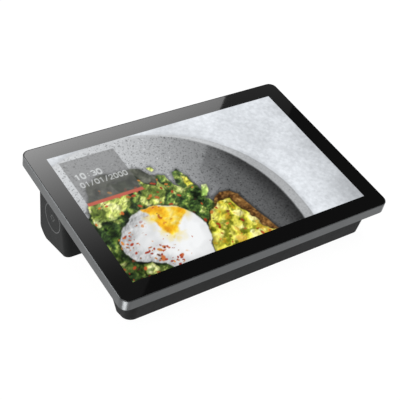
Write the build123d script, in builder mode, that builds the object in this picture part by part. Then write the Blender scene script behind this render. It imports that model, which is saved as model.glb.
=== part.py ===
"""Ten inch smart display on a fixed wedge stand.

The screen is a flat slab in a metal rim, sloping up towards the back. A hollow foot carries its
front edge and a deeper hollow leg, which holds the sockets and loudspeakers, carries its rear.

Origin: on the table, under the middle of the object's box. +X is to the user's right, +Y points
away from the user and +Z is up.
"""

from build123d import *
import os
from math import cos, radians, sin, tan

# ---- driving dimensions, mm and degrees ----
tilt = 17.4  # slope of the screen above the table
half_depth = 82.0  # half of the depth, from the rim's front edge to the back of the heel
glass_centre_height = 57.45
rim_width = 247.6
rim_height = 165.6  # measured up the slope
rim_thickness = 10.0
rim_chamfer = 0.5
rim_back_chamfer = 0.4
corner_radius = 7.0
base_z = 0.6  # underside of the shells, held off the table by the rubber pads

glass_width = 246.2
glass_height = 164.2
glass_thickness = 1.8
glass_gap = 0.1  # all round, between the glass and its pocket
glass_edge = 0.25  # flat ground along the edge of the glass
tape_thickness = 0.2
tape_margin = 0.6  # the tape stands in by this much all round

panel_shift = -0.5  # the picture sits this far up the slope from the glass's middle
touch_size = (233.0, 152.0)
touch_thickness = 0.6
touch_corner = 2.0
cell_size = (227.0, 145.0)
cell_thickness = 1.2
backlight_size = (229.5, 149.0)
backlight_depth = 6.0  # its back, below the face of the glass
plate_thickness = 0.8

rim_wall = 2.5
ledge_thickness = 1.6
window_size = (234.0, 154.0)
window_corner = 3.0
housing_wall = 1.8
dish_size = (224.0, 153.5)
dish_shift = -0.25
dish_depth = 15.0  # underside of the dish, below the face of the glass
dish_corner = 6.0
dish_edge_radius = 0.8

leg_half_width = 111.0
leg_front_y = 34.6
leg_wall = 2.5
leg_rear_lean = 9.5
heel_radius = 17.0
heel_break = 20.0  # angle at which the heel's arc meets the flat underside
leg_front_radius = 5.0
leg_rear_radius = 4.0

foot_half_width = 112.0
foot_front_y = -63.8
foot_rear_y = -44.5
foot_wall = 2.4
foot_front_lean = 22.7
foot_rear_lean = 30.0
foot_front_radius = 7.0
foot_rear_radius = 4.0

screw_radius = 1.2
screw_clearance = 0.1
pan_head_radius = 2.0
pan_head_height = 1.0
sunk_head_radius = 2.2
sunk_head_height = 1.0
drive_radius = 0.9

io_board_top = -6.5  # face that carries the sockets, from the middle of the socket panel
io_board_thickness = 1.6
io_board_width = 100.0

button_y = 54.4
button_z = 28.5
button_radius = 4.5
button_fit = 0.05  # radial clearance of the cap in its hole
button_proud = 0.8
button_travel = 0.5

# ---- planes and lines worked out from them ----
slope = radians(tilt)
screen_normal = (0, -sin(slope), cos(slope))
screen_y = rim_height / 2 * cos(slope) - rim_chamfer * sin(slope) - half_depth
screen_plane = Plane(origin=(0, screen_y, glass_centre_height), x_dir=(1, 0, 0), z_dir=screen_normal)
screen_axis = Axis((0, 0, 0), screen_normal)


def level(depth):
    """Plane parallel to the screen, this far below the face of the glass."""
    return screen_plane.offset(-depth)


def meet_dish(y, z, lean):
    """Point where a line from (y, z), leaning back by lean degrees, meets the dish's underside."""
    rise = tan(slope)
    run = tan(radians(lean))
    dish_at_origin = glass_centre_height - screen_y * rise - dish_depth / cos(slope)
    top = (dish_at_origin + rise * (y - run * z)) / (1 - rise * run)
    return (y + run * (top - z), top)


heel_z = base_z + heel_radius * cos(radians(heel_break))
heel_y = half_depth - heel_radius
heel_top = (
    heel_y + heel_radius * cos(radians(leg_rear_lean)),
    heel_z + heel_radius * sin(radians(leg_rear_lean)),
)

# plane on the leg's rear face, x to the left as seen by the user, y up the face, z outwards
socket_height = 20.0  # middle of the socket panel, up the rear face from the heel
lean = radians(leg_rear_lean)
rear_plane = Plane(
    origin=(0, heel_top[0] - socket_height * sin(lean), heel_top[1] + socket_height * cos(lean)),
    x_dir=(-1, 0, 0),
    z_dir=(0, cos(lean), sin(lean)),
)
# the same place, looking up along the rear face, y outwards
lean_plan = Plane(origin=rear_plane.origin, x_dir=(1, 0, 0), z_dir=rear_plane.y_dir)
button_plane = Plane(origin=(leg_half_width, button_y, button_z), x_dir=(0, 1, 0), z_dir=(1, 0, 0))

os.makedirs("parts", exist_ok=True)


def save(piece, name):
    """Label a finished piece and write it to its own file."""
    piece.part.label = name
    export_step(piece.part, f"parts/{name}.step")


def grown(size, margin):
    """Width and height with a margin added all round, or taken off where it is negative."""
    return (size[0] + 2 * margin, size[1] + 2 * margin)


def discs(plane, places, radius):
    """Sketch of equal circles at the given places of a plane."""
    with BuildSketch(plane) as sketch:
        with Locations(*places):
            Circle(radius)
    return sketch.sketch


def block(plane, centre, size, radius=0.0):
    """Sketch of one rectangle, with rounded corners where a radius is given."""
    with BuildSketch(plane) as sketch:
        with Locations(centre):
            if radius > 0:
                RectangleRounded(size[0], size[1], radius)
            else:
                Rectangle(size[0], size[1])
    return sketch.sketch


def pan_screws(plane, places, length):
    """Group of pan head screws, seated on the plane and driven along its z direction."""
    with BuildPart() as group:
        extrude(discs(plane, places, screw_radius), amount=length)
        extrude(discs(plane, places, pan_head_radius), amount=-pan_head_height)
        drive = discs(plane.offset(-pan_head_height), places, drive_radius)
        extrude(drive, amount=pan_head_height / 2, mode=Mode.SUBTRACT)
    return group


def sunk_screws(plane, places, length):
    """Group of countersunk screws, their heads flush with the plane, driven along its z."""
    with BuildPart() as group:
        extrude(discs(plane, places, screw_radius), amount=length)
        extrude(discs(plane, places, sunk_head_radius), amount=sunk_head_height, taper=45)
        drive = discs(plane, places, drive_radius)
        extrude(drive, amount=sunk_head_height / 2, mode=Mode.SUBTRACT)
    return group


# ---- screen stack, from the glass downwards ----
glass_corner = corner_radius - (rim_width - glass_width) / 2
with BuildPart() as cover_glass:
    extrude(block(level(glass_thickness), (0, 0), (glass_width, glass_height), glass_corner),
            amount=glass_thickness)
    chamfer(cover_glass.faces().sort_by(screen_axis)[-1].edges(), length=glass_edge)
save(cover_glass, "cover_glass")

pocket_depth = glass_thickness + tape_thickness
with BuildPart() as glass_tape:
    tape_size = grown((glass_width, glass_height), -tape_margin)
    extrude(block(level(pocket_depth), (0, 0), tape_size, glass_corner - tape_margin),
            amount=tape_thickness)
    extrude(block(level(pocket_depth), (0, 0), grown(window_size, tape_margin), window_corner),
            amount=tape_thickness, mode=Mode.SUBTRACT)
save(glass_tape, "glass_tape")

touch_back = glass_thickness + touch_thickness
with BuildPart() as touch_sensor:
    extrude(block(level(touch_back), (0, 0), touch_size, touch_corner), amount=touch_thickness)
save(touch_sensor, "touch_sensor")

cell_back = touch_back + cell_thickness
with BuildPart() as lcd_cell:
    extrude(block(level(cell_back), (0, panel_shift), cell_size), amount=cell_thickness)
save(lcd_cell, "lcd_cell")

tray_lip = 1.0  # the backlight's tray stands this far up round the cell
tray_corner = 1.0
cell_gap = 0.2
with BuildPart() as backlight_unit:
    extrude(block(level(backlight_depth), (0, panel_shift), backlight_size, tray_corner),
            amount=backlight_depth - cell_back + tray_lip)
    extrude(block(level(cell_back), (0, panel_shift), grown(cell_size, cell_gap)),
            amount=tray_lip, mode=Mode.SUBTRACT)
save(backlight_unit, "backlight_unit")

# ---- metal rim, its bosses and the steel plate behind the panel ----
ledge_depth = pocket_depth + ledge_thickness
flange_depth = rim_thickness - housing_wall
boss_x = 118.2
boss_v = 77.0
housing_boss_places = [(x, v) for x in (-boss_x, boss_x) for v in (-boss_v, 0.0, boss_v)]
housing_boss_radius = 3.3
# lugs for the steel plate: two on each short side, two on each long side
side_lug_v = 40.0
end_lug = (60.0, 78.2)
lug_places = [(x, v) for x in (-boss_x, boss_x) for v in (-side_lug_v, side_lug_v)]
lug_places += [(x, v) for x in (-end_lug[0], end_lug[0]) for v in (-end_lug[1], end_lug[1])]
lug_radius = 3.0
thread_radius = screw_radius + screw_clearance
cavity_size = grown((rim_width, rim_height), -rim_wall)
cavity_corner = corner_radius - rim_wall

with BuildPart() as rim_frame:
    extrude(block(level(rim_thickness), (0, 0), (rim_width, rim_height), corner_radius),
            amount=rim_thickness)
    chamfer(rim_frame.faces().sort_by(screen_axis)[-1].edges(), length=rim_chamfer)
    chamfer(rim_frame.faces().sort_by(screen_axis)[0].edges(), length=rim_back_chamfer)
    pocket_size = grown((glass_width, glass_height), glass_gap)
    extrude(block(level(pocket_depth), (0, 0), pocket_size, glass_corner + glass_gap),
            amount=pocket_depth, mode=Mode.SUBTRACT)
    extrude(block(level(rim_thickness), (0, 0), window_size, window_corner),
            amount=rim_thickness, mode=Mode.SUBTRACT)
    extrude(block(level(rim_thickness), (0, 0), cavity_size, cavity_corner),
            amount=rim_thickness - ledge_depth, mode=Mode.SUBTRACT)
    extrude(discs(level(flange_depth), housing_boss_places, housing_boss_radius),
            amount=flange_depth - ledge_depth)
    extrude(discs(level(backlight_depth), lug_places, lug_radius),
            amount=backlight_depth - ledge_depth)
    threads = discs(level(flange_depth), housing_boss_places, thread_radius)
    extrude(threads, amount=flange_depth - ledge_depth, mode=Mode.SUBTRACT)
    lug_threads = discs(level(backlight_depth), lug_places, thread_radius)
    extrude(lug_threads, amount=backlight_depth - ledge_depth, mode=Mode.SUBTRACT)
save(rim_frame, "rim_frame")

plate_back = backlight_depth + plate_thickness
board_centre = (-20.0, 5.0)
board_size = (130.0, 76.0)
board_thickness = 1.2
standoff_height = 1.2
standoff_radius = 2.4
standoff_reach = (60.0, 33.0)  # from the middle of the board
board_front = plate_back + standoff_height
board_back = board_front + board_thickness
board_corners = [
    (board_centre[0] + side * standoff_reach[0], board_centre[1] + end * standoff_reach[1])
    for side in (-1, 1)
    for end in (-1, 1)
]
ribbon_width = 22.0
ribbon_x = -20.0
ribbon_v = -40.0  # place of the slot for the panel's ribbon, up the slope
ribbon_slot = (ribbon_width + 4.0, 3.0)
ribbon_slot_corner = 1.4
plate_gap = 0.3  # all round, inside the rim
plate_corner = 4.0
boss_gap = 0.4
lightening_rows = (-62.0, 60.0)
lightening_slot = (34.0, 8.0)
lightening_pitch = 48.0
lightening_count = 4  # in each row
with BuildPart() as mid_plate:
    extrude(block(level(plate_back), (0, 0), grown(cavity_size, -plate_gap), plate_corner),
            amount=plate_thickness)
    extrude(discs(level(plate_back), housing_boss_places, housing_boss_radius + boss_gap),
            amount=plate_thickness, mode=Mode.SUBTRACT)
    extrude(discs(level(board_front), board_corners, standoff_radius), amount=standoff_height)
    extrude(discs(level(board_front), board_corners, thread_radius),
            amount=standoff_height + plate_thickness, mode=Mode.SUBTRACT)
    extrude(discs(level(plate_back), lug_places, thread_radius), amount=plate_thickness,
            mode=Mode.SUBTRACT)
    extrude(block(level(plate_back), (ribbon_x, ribbon_v), ribbon_slot, ribbon_slot_corner),
            amount=plate_thickness, mode=Mode.SUBTRACT)
    for row in lightening_rows:
        with BuildSketch(level(plate_back)):
            with Locations((0, row)):
                with GridLocations(lightening_pitch, 1.0, lightening_count, 1):
                    SlotOverall(*lightening_slot)
        extrude(amount=plate_thickness, mode=Mode.SUBTRACT)
save(mid_plate, "mid_plate")

lug_bite = 2.0  # length of thread in each lug
save(pan_screws(level(plate_back), lug_places, plate_thickness + lug_bite), "plate_screws")

# ---- electronics on the plate ----
board_corner = 2.0
with BuildPart() as mainboard:
    extrude(block(level(board_back), board_centre, board_size, board_corner),
            amount=board_thickness)
    extrude(discs(level(board_back), board_corners, thread_radius), amount=board_thickness,
            mode=Mode.SUBTRACT)
save(mainboard, "mainboard")

standoff_bite = 1.0  # length of thread in each standoff
save(
    pan_screws(level(board_back), board_corners, board_thickness + standoff_bite),
    "mainboard_screws",
)

processor_place = (8.0, 12.0)
processor_size = (15.0, 15.0)
processor_height = 0.9
sink_size = (36.0, 36.0)
sink_corner = 1.0
sink_base = 0.8
fin_size = (1.0, 34.0)
fin_pitch = 3.5
fin_count = 10
fin_height = 1.7
with BuildPart() as processor:
    extrude(block(level(board_back + processor_height), processor_place, processor_size),
            amount=processor_height)
save(processor, "processor")

sink_front = board_back + processor_height
with BuildPart() as heat_sink:
    extrude(block(level(sink_front + sink_base), processor_place, sink_size, sink_corner),
            amount=sink_base)
    with BuildSketch(level(sink_front + sink_base + fin_height)):
        with Locations(processor_place):
            with GridLocations(fin_pitch, 1.0, fin_count, 1):
                Rectangle(*fin_size)
    extrude(amount=fin_height)
save(heat_sink, "heat_sink")

can_place = (-30.0, 18.0)
can_size = (28.0, 24.0)
can_height = 2.0
can_wall = 0.3
can_corner = 1.0
with BuildPart() as shield_can:
    extrude(block(level(board_back + can_height), can_place, can_size, can_corner),
            amount=can_height)
    extrude(block(level(board_back + can_height - can_wall), can_place,
                  grown(can_size, -can_wall), can_corner - can_wall),
            amount=can_height - can_wall, mode=Mode.SUBTRACT)
save(shield_can, "shield_can")

wireless_place = (-62.0, -18.0)
wireless_size = (14.0, 12.0)
wireless_height = 2.2
wireless_corner = 0.5
with BuildPart() as wireless_module:
    extrude(block(level(board_back + wireless_height), wireless_place, wireless_size,
                  wireless_corner),
            amount=wireless_height)
save(wireless_module, "wireless_module")

clock_place = (-66.0, 22.0)
clock_radius = 6.25
clock_height = 2.0
clock_edge = 0.3
with BuildPart() as clock_cell:
    extrude(discs(level(board_back + clock_height), [clock_place], clock_radius),
            amount=clock_height)
    chamfer(clock_cell.faces().sort_by(screen_axis)[0].edges(), length=clock_edge)
save(clock_cell, "clock_cell")

# ---- ribbons ----
ribbon_thickness = 0.25
ribbon_socket_height = 1.6
ribbon_socket_depth = 5.0
ribbon_socket_margin = 4.0  # added to the ribbon's width
ribbon_level = board_back + ribbon_socket_height / 2
panel_socket_v = -28.0
io_ribbon_x = 20.0
io_ribbon_width = 16.0
io_socket_v = 36.0
ribbon_bend = 1.0
io_ribbon_bend = 2.0
io_ribbon_drop = 6.0  # straight stretch of the I/O ribbon below the dish
cable_slot_v = 55.0  # where the I/O ribbon goes down into the leg, up the slope


def beside(v, depth):
    """Point on the YZ plane, v up the slope and this far below the face of the glass."""
    return (
        screen_y + v * cos(slope) + depth * sin(slope),
        glass_centre_height + v * sin(slope) - depth * cos(slope),
    )


def ribbon(x, width, points, radius):
    """Flat ribbon of even thickness, centred on x, that follows points on the YZ plane."""
    with BuildPart() as strip:
        with BuildSketch(Plane.YZ.offset(x - width / 2)):
            with BuildLine():
                FilletPolyline(*points, radius=radius)
                offset(amount=ribbon_thickness, side=Side.RIGHT)
            make_face()
        extrude(amount=width)
    return strip


panel_ribbon_points = (
    beside(ribbon_v, backlight_depth),
    beside(ribbon_v, ribbon_level),
    beside(panel_socket_v - ribbon_socket_depth / 2, ribbon_level),
)
save(ribbon(ribbon_x, ribbon_width, panel_ribbon_points, ribbon_bend), "panel_ribbon")

io_board_inward = 23.5  # middle of the I/O board's ribbon socket, in from the rear face
io_socket_foot = rear_plane.from_local_coords((0, io_board_top, -io_board_inward))
io_socket_top = rear_plane.from_local_coords(
    (0, io_board_top + ribbon_socket_height, -io_board_inward)
)
io_ribbon_points = (
    beside(io_socket_v + ribbon_socket_depth / 2, ribbon_level),
    beside(cable_slot_v, ribbon_level),
    beside(cable_slot_v, dish_depth + io_ribbon_drop),
    (io_socket_top.Y, io_socket_top.Z),
)
save(ribbon(io_ribbon_x, io_ribbon_width, io_ribbon_points, io_ribbon_bend), "io_ribbon")

with BuildPart() as ribbon_sockets:
    socket_plane = level(board_back + ribbon_socket_height)
    panel_socket = (ribbon_width + ribbon_socket_margin, ribbon_socket_depth)
    io_socket = (io_ribbon_width + ribbon_socket_margin, ribbon_socket_depth)
    extrude(block(socket_plane, (ribbon_x, panel_socket_v), panel_socket),
            amount=ribbon_socket_height)
    extrude(block(socket_plane, (io_ribbon_x, io_socket_v), io_socket),
            amount=ribbon_socket_height)
    standing = Plane(origin=io_socket_foot, x_dir=(1, 0, 0), z_dir=rear_plane.y_dir)
    extrude(block(standing, (io_ribbon_x, 0), io_socket), amount=ribbon_socket_height)
save(ribbon_sockets, "ribbon_sockets")

# ---- rear housing: a flange inside the rim and a shallow dish ----
floor_depth = dish_depth - housing_wall  # inner face of the dish's floor
leg_screw_places = [(x, v) for x in (-92.0, 92.0) for v in (42.0, 62.0)]
foot_screw_v = -52.0
foot_screw_places = [(x, foot_screw_v) for x in (-96.0, -32.0, 32.0, 96.0)]
cable_slot_place = (io_ribbon_x, cable_slot_v)
cable_slot_size = (22.0, 7.0)
cable_slot_corner = 3.0
flange_gap = 0.15  # all round, inside the rim
vent_slot = (13.0, 2.2)
vent_pitch = (6.0, 17.0)
vent_counts = (22, 2)
vent_v = 2.0
with BuildPart() as rear_housing:
    extrude(block(level(rim_thickness), (0, 0), grown(cavity_size, -flange_gap),
                  cavity_corner - flange_gap),
            amount=housing_wall)
    extrude(block(level(dish_depth), (0, dish_shift), dish_size, dish_corner),
            amount=dish_depth - rim_thickness)
    dish_edges = rear_housing.faces().sort_by(screen_axis)[0].edges()
    fillet(dish_edges, radius=dish_edge_radius)
    extrude(block(level(floor_depth), (0, dish_shift), grown(dish_size, -housing_wall),
                  dish_corner - housing_wall),
            amount=floor_depth - flange_depth, mode=Mode.SUBTRACT)
    extrude(discs(level(rim_thickness), housing_boss_places, thread_radius), amount=housing_wall,
            mode=Mode.SUBTRACT)
    extrude(discs(level(rim_thickness), housing_boss_places,
                  sunk_head_radius + screw_clearance),
            amount=sunk_head_height, taper=45, mode=Mode.SUBTRACT)
    extrude(discs(level(dish_depth), leg_screw_places + foot_screw_places, thread_radius),
            amount=housing_wall, mode=Mode.SUBTRACT)
    extrude(block(level(dish_depth), cable_slot_place, cable_slot_size, cable_slot_corner),
            amount=housing_wall, mode=Mode.SUBTRACT)
    with BuildSketch(level(dish_depth)):
        with Locations((0, vent_v)):
            with GridLocations(*vent_pitch, *vent_counts):
                SlotOverall(*vent_slot, rotation=90)
    extrude(amount=housing_wall, mode=Mode.SUBTRACT)
save(rear_housing, "rear_housing")

boss_bite = 3.5  # length of thread in each boss
save(
    sunk_screws(level(rim_thickness), housing_boss_places, housing_wall + boss_bite),
    "housing_screws",
)

antenna_place = (88.0, -60.0)
antenna_size = (36.0, 8.0)
antenna_corner = 1.0
antenna_thickness = 0.6
with BuildPart() as wireless_antenna:
    extrude(block(level(floor_depth), antenna_place, antenna_size, antenna_corner),
            amount=antenna_thickness)
save(wireless_antenna, "wireless_antenna")

lead_radius = 0.6


def lead(plane, points, radius):
    """Round lead that follows points of a plane, its corners rounded to the radius."""
    with BuildPart() as wire:
        with BuildLine(plane) as route:
            FilletPolyline(*points, radius=radius)
        path = route.wire()
        with BuildSketch(Plane(origin=path @ 0, z_dir=path % 0)):
            Circle(lead_radius)
        sweep(path=path)
    return wire


# the antenna's lead lies on the module at one end and on the antenna at the other
lead_level = floor_depth - antenna_thickness - lead_radius
antenna_lead_points = ((-62.0, -20.0), (-62.0, -48.0), (64.0, -48.0), (64.0, -60.0), (76.0, -60.0))
lead_bend = 5.0
save(lead(level(lead_level), antenna_lead_points, lead_bend), "antenna_lead")


# ---- leg ----
def leg_side(inset):
    """Side outline of the leg, on the YZ plane, drawn in by inset all round."""
    with BuildSketch(Plane.YZ) as outline:
        with BuildLine():
            heel = CenterArc((heel_y, heel_z), heel_radius, heel_break - 90,
                             90 - heel_break + leg_rear_lean)
            back_top = meet_dish(heel_top[0], heel_top[1], -leg_rear_lean)
            front_top = meet_dish(leg_front_y, base_z, 0)
            Polyline(heel @ 1, back_top, front_top, (leg_front_y, base_z), heel @ 0)
        make_face()
        if inset > 0:
            offset(amount=-inset, mode=Mode.REPLACE)
    return outline.sketch


cover_y = 52.6  # middle of the opening under the leg
cover_size = (211.6, 27.6)
cover_corner = 2.8
cover_gap = 0.2
cover_opening = (196.0, 20.0)
cover_opening_corner = 2.0
cover_recess = 0.1  # the cover lies this far inside the leg's underside
cover_face = base_z + cover_recess
cover_thickness = 1.2
cover_top = cover_face + cover_thickness
cover_screw_places = [(-102.0, cover_y), (102.0, cover_y), (0.0, 41.2), (0.0, 64.0)]
cover_boss_radius = 3.2
cover_boss_height = 6.0
leg_boss_radius = 3.6
leg_boss_height = 8.0

socket_recess = (94.0, 21.0)
recess_corner = 3.0
recess_depth = 1.0
window_gap = 0.2  # round each socket
slot_overrun = 1.0  # the ribbon's slot is cut this far past the wall, so that no skin is left
shelf_x = 46.0
shelf_size = (6.0, 6.0)
shelf_length = 21.0
board_length = 24.0
board_gap = 0.3  # from the inside of the rear wall
board_start = leg_wall + board_gap
board_middle = board_start + board_length / 2
# lower face of the board: x to the left, y inwards from the rear face, z up the face
board_under = Plane(
    origin=rear_plane.from_local_coords((0, io_board_top - io_board_thickness, 0)),
    x_dir=rear_plane.x_dir,
    z_dir=rear_plane.y_dir,
)
io_screw_places = [(x, board_middle) for x in (-shelf_x, shelf_x)]
shelf_thread_depth = 4.0
post_places = [(-9.0, 0.0), (9.0, 0.0)]
post_radius = 2.4
post_height = 8.3
post_thread_depth = 5.0
switch_board_level = leg_wall + post_height  # outer face of the switch board, from the leg's side

# sockets: middle across the panel, width, height and depth of each body
power_socket = {"across": -36.0, "size": (9.0, 11.0), "depth": 14.0}
usb_sockets = {
    "usb_socket_left": {"across": 6.0, "size": (14.4, 7.0), "depth": 14.0},
    "usb_socket_right": {"across": -14.0, "size": (14.4, 7.0), "depth": 14.0},
}
network_socket = {"across": 31.0, "size": (16.0, 13.4), "depth": 18.0}
all_sockets = [power_socket, network_socket, *usb_sockets.values()]


def socket_middle(socket):
    """Middle of a socket's face on the rear plane: each one stands on the I/O board."""
    return (socket["across"], io_board_top + socket["size"][1] / 2)


with BuildPart() as leg_shell:
    extrude(leg_side(0), amount=leg_half_width, both=True)
    front_edges = leg_shell.edges().filter_by(Axis.Z).sort_by(Axis.Y)[:2]
    fillet(front_edges, radius=leg_front_radius)
    # the rear corners are rounded along the lean of the rear face, and fade out over the heel
    extrude(block(lean_plan, (0, -leg_half_width), (2 * leg_half_width, 2 * leg_half_width),
                  leg_rear_radius),
            amount=leg_half_width, both=True, mode=Mode.INTERSECT)
    extrude(leg_side(leg_wall), amount=leg_half_width - leg_wall, both=True, mode=Mode.SUBTRACT)
    # opening for the base cover, with a rebate that it lies in
    extrude(block(Plane.XY.offset(base_z), (0, cover_y), cover_opening,
                  cover_opening_corner),
            amount=leg_wall, mode=Mode.SUBTRACT)
    extrude(block(Plane.XY.offset(base_z), (0, cover_y), grown(cover_size, cover_gap),
                  cover_corner + cover_gap),
            amount=cover_top - base_z, mode=Mode.SUBTRACT)
    extrude(discs(Plane.XY.offset(cover_top), cover_screw_places, cover_boss_radius),
            amount=cover_boss_height)
    extrude(discs(Plane.XY.offset(cover_top), cover_screw_places, thread_radius),
            amount=cover_boss_height, mode=Mode.SUBTRACT)
    # bosses under the top wall for the screws that come down from the dish
    extrude(discs(level(dish_depth), leg_screw_places, leg_boss_radius), amount=-leg_boss_height)
    extrude(discs(level(dish_depth), leg_screw_places, thread_radius), amount=-leg_boss_height,
            mode=Mode.SUBTRACT)
    extrude(block(level(dish_depth), cable_slot_place, cable_slot_size, cable_slot_corner),
            amount=-leg_wall - slot_overrun, mode=Mode.SUBTRACT)
    # socket panel: a shallow recess, a window for each socket and two shelves for the board
    extrude(block(rear_plane, (0, 0), socket_recess, recess_corner), amount=-recess_depth,
            mode=Mode.SUBTRACT)
    for socket in all_sockets:
        extrude(block(rear_plane, socket_middle(socket), grown(socket["size"], window_gap)),
                amount=-leg_wall, mode=Mode.SUBTRACT)
    shelf_up = io_board_top - io_board_thickness - shelf_size[1] / 2
    for x in (-shelf_x, shelf_x):
        extrude(block(rear_plane.offset(-leg_wall), (x, shelf_up), shelf_size),
                amount=-shelf_length)
    extrude(discs(board_under, io_screw_places, thread_radius), amount=-shelf_thread_depth,
            mode=Mode.SUBTRACT)
    # hole for the power button and the posts that carry its switch board
    extrude(discs(button_plane, [(0, 0)], button_radius + button_fit), amount=-leg_wall,
            mode=Mode.SUBTRACT)
    extrude(discs(button_plane.offset(-leg_wall), post_places, post_radius),
            amount=-post_height)
    extrude(discs(button_plane.offset(-switch_board_level), post_places, thread_radius),
            amount=post_thread_depth, mode=Mode.SUBTRACT)
save(leg_shell, "leg_shell")

inside_dish = Plane(
    origin=level(floor_depth).origin, x_dir=(1, 0, 0), z_dir=(0, sin(slope), -cos(slope))
)
stand_screw_length = 8.0
# seen from inside the dish the slope's direction is turned round, so places change sign
for name, places in (("leg_screws", leg_screw_places), ("foot_screws", foot_screw_places)):
    turned_places = [(x, -v) for x, v in places]
    save(pan_screws(inside_dish, turned_places, stand_screw_length), name)

# ---- base cover, loudspeakers and their gaskets ----
speaker_places = [(-76.0, cover_y), (76.0, cover_y)]
speaker_size = (38.0, 18.0)
speaker_corner = 4.0
speaker_edge_radius = 1.0
speaker_height = 9.0
gasket_thickness = 1.0
gasket_width = 2.0
grille_slot = (11.0, 1.6)
grille_pitch = 4.0
grille_count = 7
with BuildPart() as leg_base_cover:
    extrude(block(Plane.XY.offset(cover_face), (0, cover_y), cover_size, cover_corner),
            amount=cover_thickness)
    extrude(discs(Plane.XY.offset(cover_face), cover_screw_places, thread_radius),
            amount=cover_thickness, mode=Mode.SUBTRACT)
    extrude(discs(Plane.XY.offset(cover_face), cover_screw_places,
                  sunk_head_radius + screw_clearance),
            amount=sunk_head_height, taper=45, mode=Mode.SUBTRACT)
    with BuildSketch(Plane.XY.offset(cover_face)):
        for place in speaker_places:
            with Locations(place):
                with GridLocations(grille_pitch, 1.0, grille_count, 1):
                    SlotOverall(*grille_slot, rotation=90)
    extrude(amount=cover_thickness, mode=Mode.SUBTRACT)
save(leg_base_cover, "leg_base_cover")

cover_screw_length = 6.0
save(
    sunk_screws(Plane.XY.offset(cover_face), cover_screw_places, cover_screw_length),
    "cover_screws",
)

with BuildPart() as speaker_gaskets:
    for place in speaker_places:
        extrude(block(Plane.XY.offset(cover_top), place, speaker_size, speaker_corner),
                amount=gasket_thickness)
        extrude(block(Plane.XY.offset(cover_top), place, grown(speaker_size, -gasket_width),
                      speaker_corner - gasket_width),
                amount=gasket_thickness, mode=Mode.SUBTRACT)
save(speaker_gaskets, "speaker_gaskets")

speaker_floor = cover_top + gasket_thickness
cone_depth = 1.5
cone_size = (30.0, 12.0)
cone_corner = 5.0
for side, place in zip(("left", "right"), speaker_places):
    with BuildPart() as speaker:
        extrude(block(Plane.XY.offset(speaker_floor), place, speaker_size, speaker_corner),
                amount=speaker_height)
        extrude(block(Plane.XY.offset(speaker_floor), place, cone_size, cone_corner),
                amount=cone_depth, taper=30, mode=Mode.SUBTRACT)
        fillet(speaker.faces().sort_by(Axis.Z)[-1].edges(), radius=speaker_edge_radius)
    save(speaker, f"speaker_{side}")

# ---- I/O board and sockets ----
small_board_corner = 1.0
with BuildPart() as io_board:
    extrude(block(board_under, (0, board_middle), (io_board_width, board_length),
                  small_board_corner),
            amount=io_board_thickness)
    extrude(discs(board_under, io_screw_places, thread_radius), amount=io_board_thickness,
            mode=Mode.SUBTRACT)
save(io_board, "io_board")

board_over = Plane(
    origin=rear_plane.from_local_coords((0, io_board_top, 0)),
    x_dir=rear_plane.x_dir,
    z_dir=-rear_plane.y_dir,
)
io_screw_places_over = [(x, -y) for x, y in io_screw_places]
save(
    pan_screws(board_over, io_screw_places_over, io_board_thickness + shelf_thread_depth),
    "io_board_screws",
)

socket_face = rear_plane.offset(-recess_depth)
socket_corner = 0.5
barrel_radius = 3.1
barrel_depth = 9.5
pin_radius = 1.0
pin_recess = 1.0  # from the socket's face to the end of the pin
with BuildPart() as dc_power_socket:
    middle = socket_middle(power_socket)
    extrude(block(socket_face, middle, power_socket["size"], socket_corner),
            amount=-power_socket["depth"])
    extrude(discs(socket_face, [middle], barrel_radius), amount=-barrel_depth, mode=Mode.SUBTRACT)
    pin_foot = socket_face.offset(-barrel_depth)
    extrude(discs(pin_foot, [middle], pin_radius), amount=barrel_depth - pin_recess)
save(dc_power_socket, "dc_power_socket")

usb_corner = 0.4
usb_mouth = (12.5, 5.1)
usb_mouth_depth = 10.0
tongue_size = (11.1, 1.9)
tongue_rise = 1.2  # the contact tongue lies above the middle of the mouth
tongue_recess = 0.8
for name, socket in usb_sockets.items():
    with BuildPart() as usb_socket:
        middle = socket_middle(socket)
        extrude(block(socket_face, middle, socket["size"], usb_corner),
                amount=-socket["depth"])
        extrude(block(socket_face, middle, usb_mouth), amount=-usb_mouth_depth, mode=Mode.SUBTRACT)
        tongue_place = (middle[0], middle[1] + tongue_rise)
        extrude(block(socket_face.offset(-usb_mouth_depth), tongue_place, tongue_size),
                amount=usb_mouth_depth - tongue_recess)
    save(usb_socket, name)

network_mouth = (11.8, 7.2)
network_depth = 12.5
network_drop = -0.6  # the mouth lies a little below the middle of the body
latch_slots = ((6.2, 1.8), (3.4, 3.0))  # steps below the mouth for the plug's latch
with BuildPart() as ethernet_socket:
    across, up = socket_middle(network_socket)
    extrude(block(socket_face, (across, up), network_socket["size"], socket_corner),
            amount=-network_socket["depth"])
    mouth_up = up + network_drop
    extrude(block(socket_face, (across, mouth_up), network_mouth), amount=-network_depth,
            mode=Mode.SUBTRACT)
    for width, drop in latch_slots:
        slot_up = mouth_up - network_mouth[1] / 2 - drop / 2
        extrude(block(socket_face, (across, slot_up), (width, drop)), amount=-network_depth,
                mode=Mode.SUBTRACT)
save(ethernet_socket, "ethernet_socket")

# ---- leads inside the leg ----
speaker_lead_y = 56.0
speaker_lead_x = 38.0
speaker_lead_top = 26.0  # just under the I/O board
lead_exit_z = 7.4
for side, sign in (("left", -1), ("right", 1)):
    speaker_end = sign * (abs(speaker_places[0][0]) - speaker_size[0] / 2)
    corner = sign * speaker_lead_x
    points = ((speaker_end, lead_exit_z), (corner, lead_exit_z), (corner, speaker_lead_top))
    plane = Plane.XZ.offset(-speaker_lead_y)
    save(lead(plane, points, lead_bend), f"speaker_lead_{side}")

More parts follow.
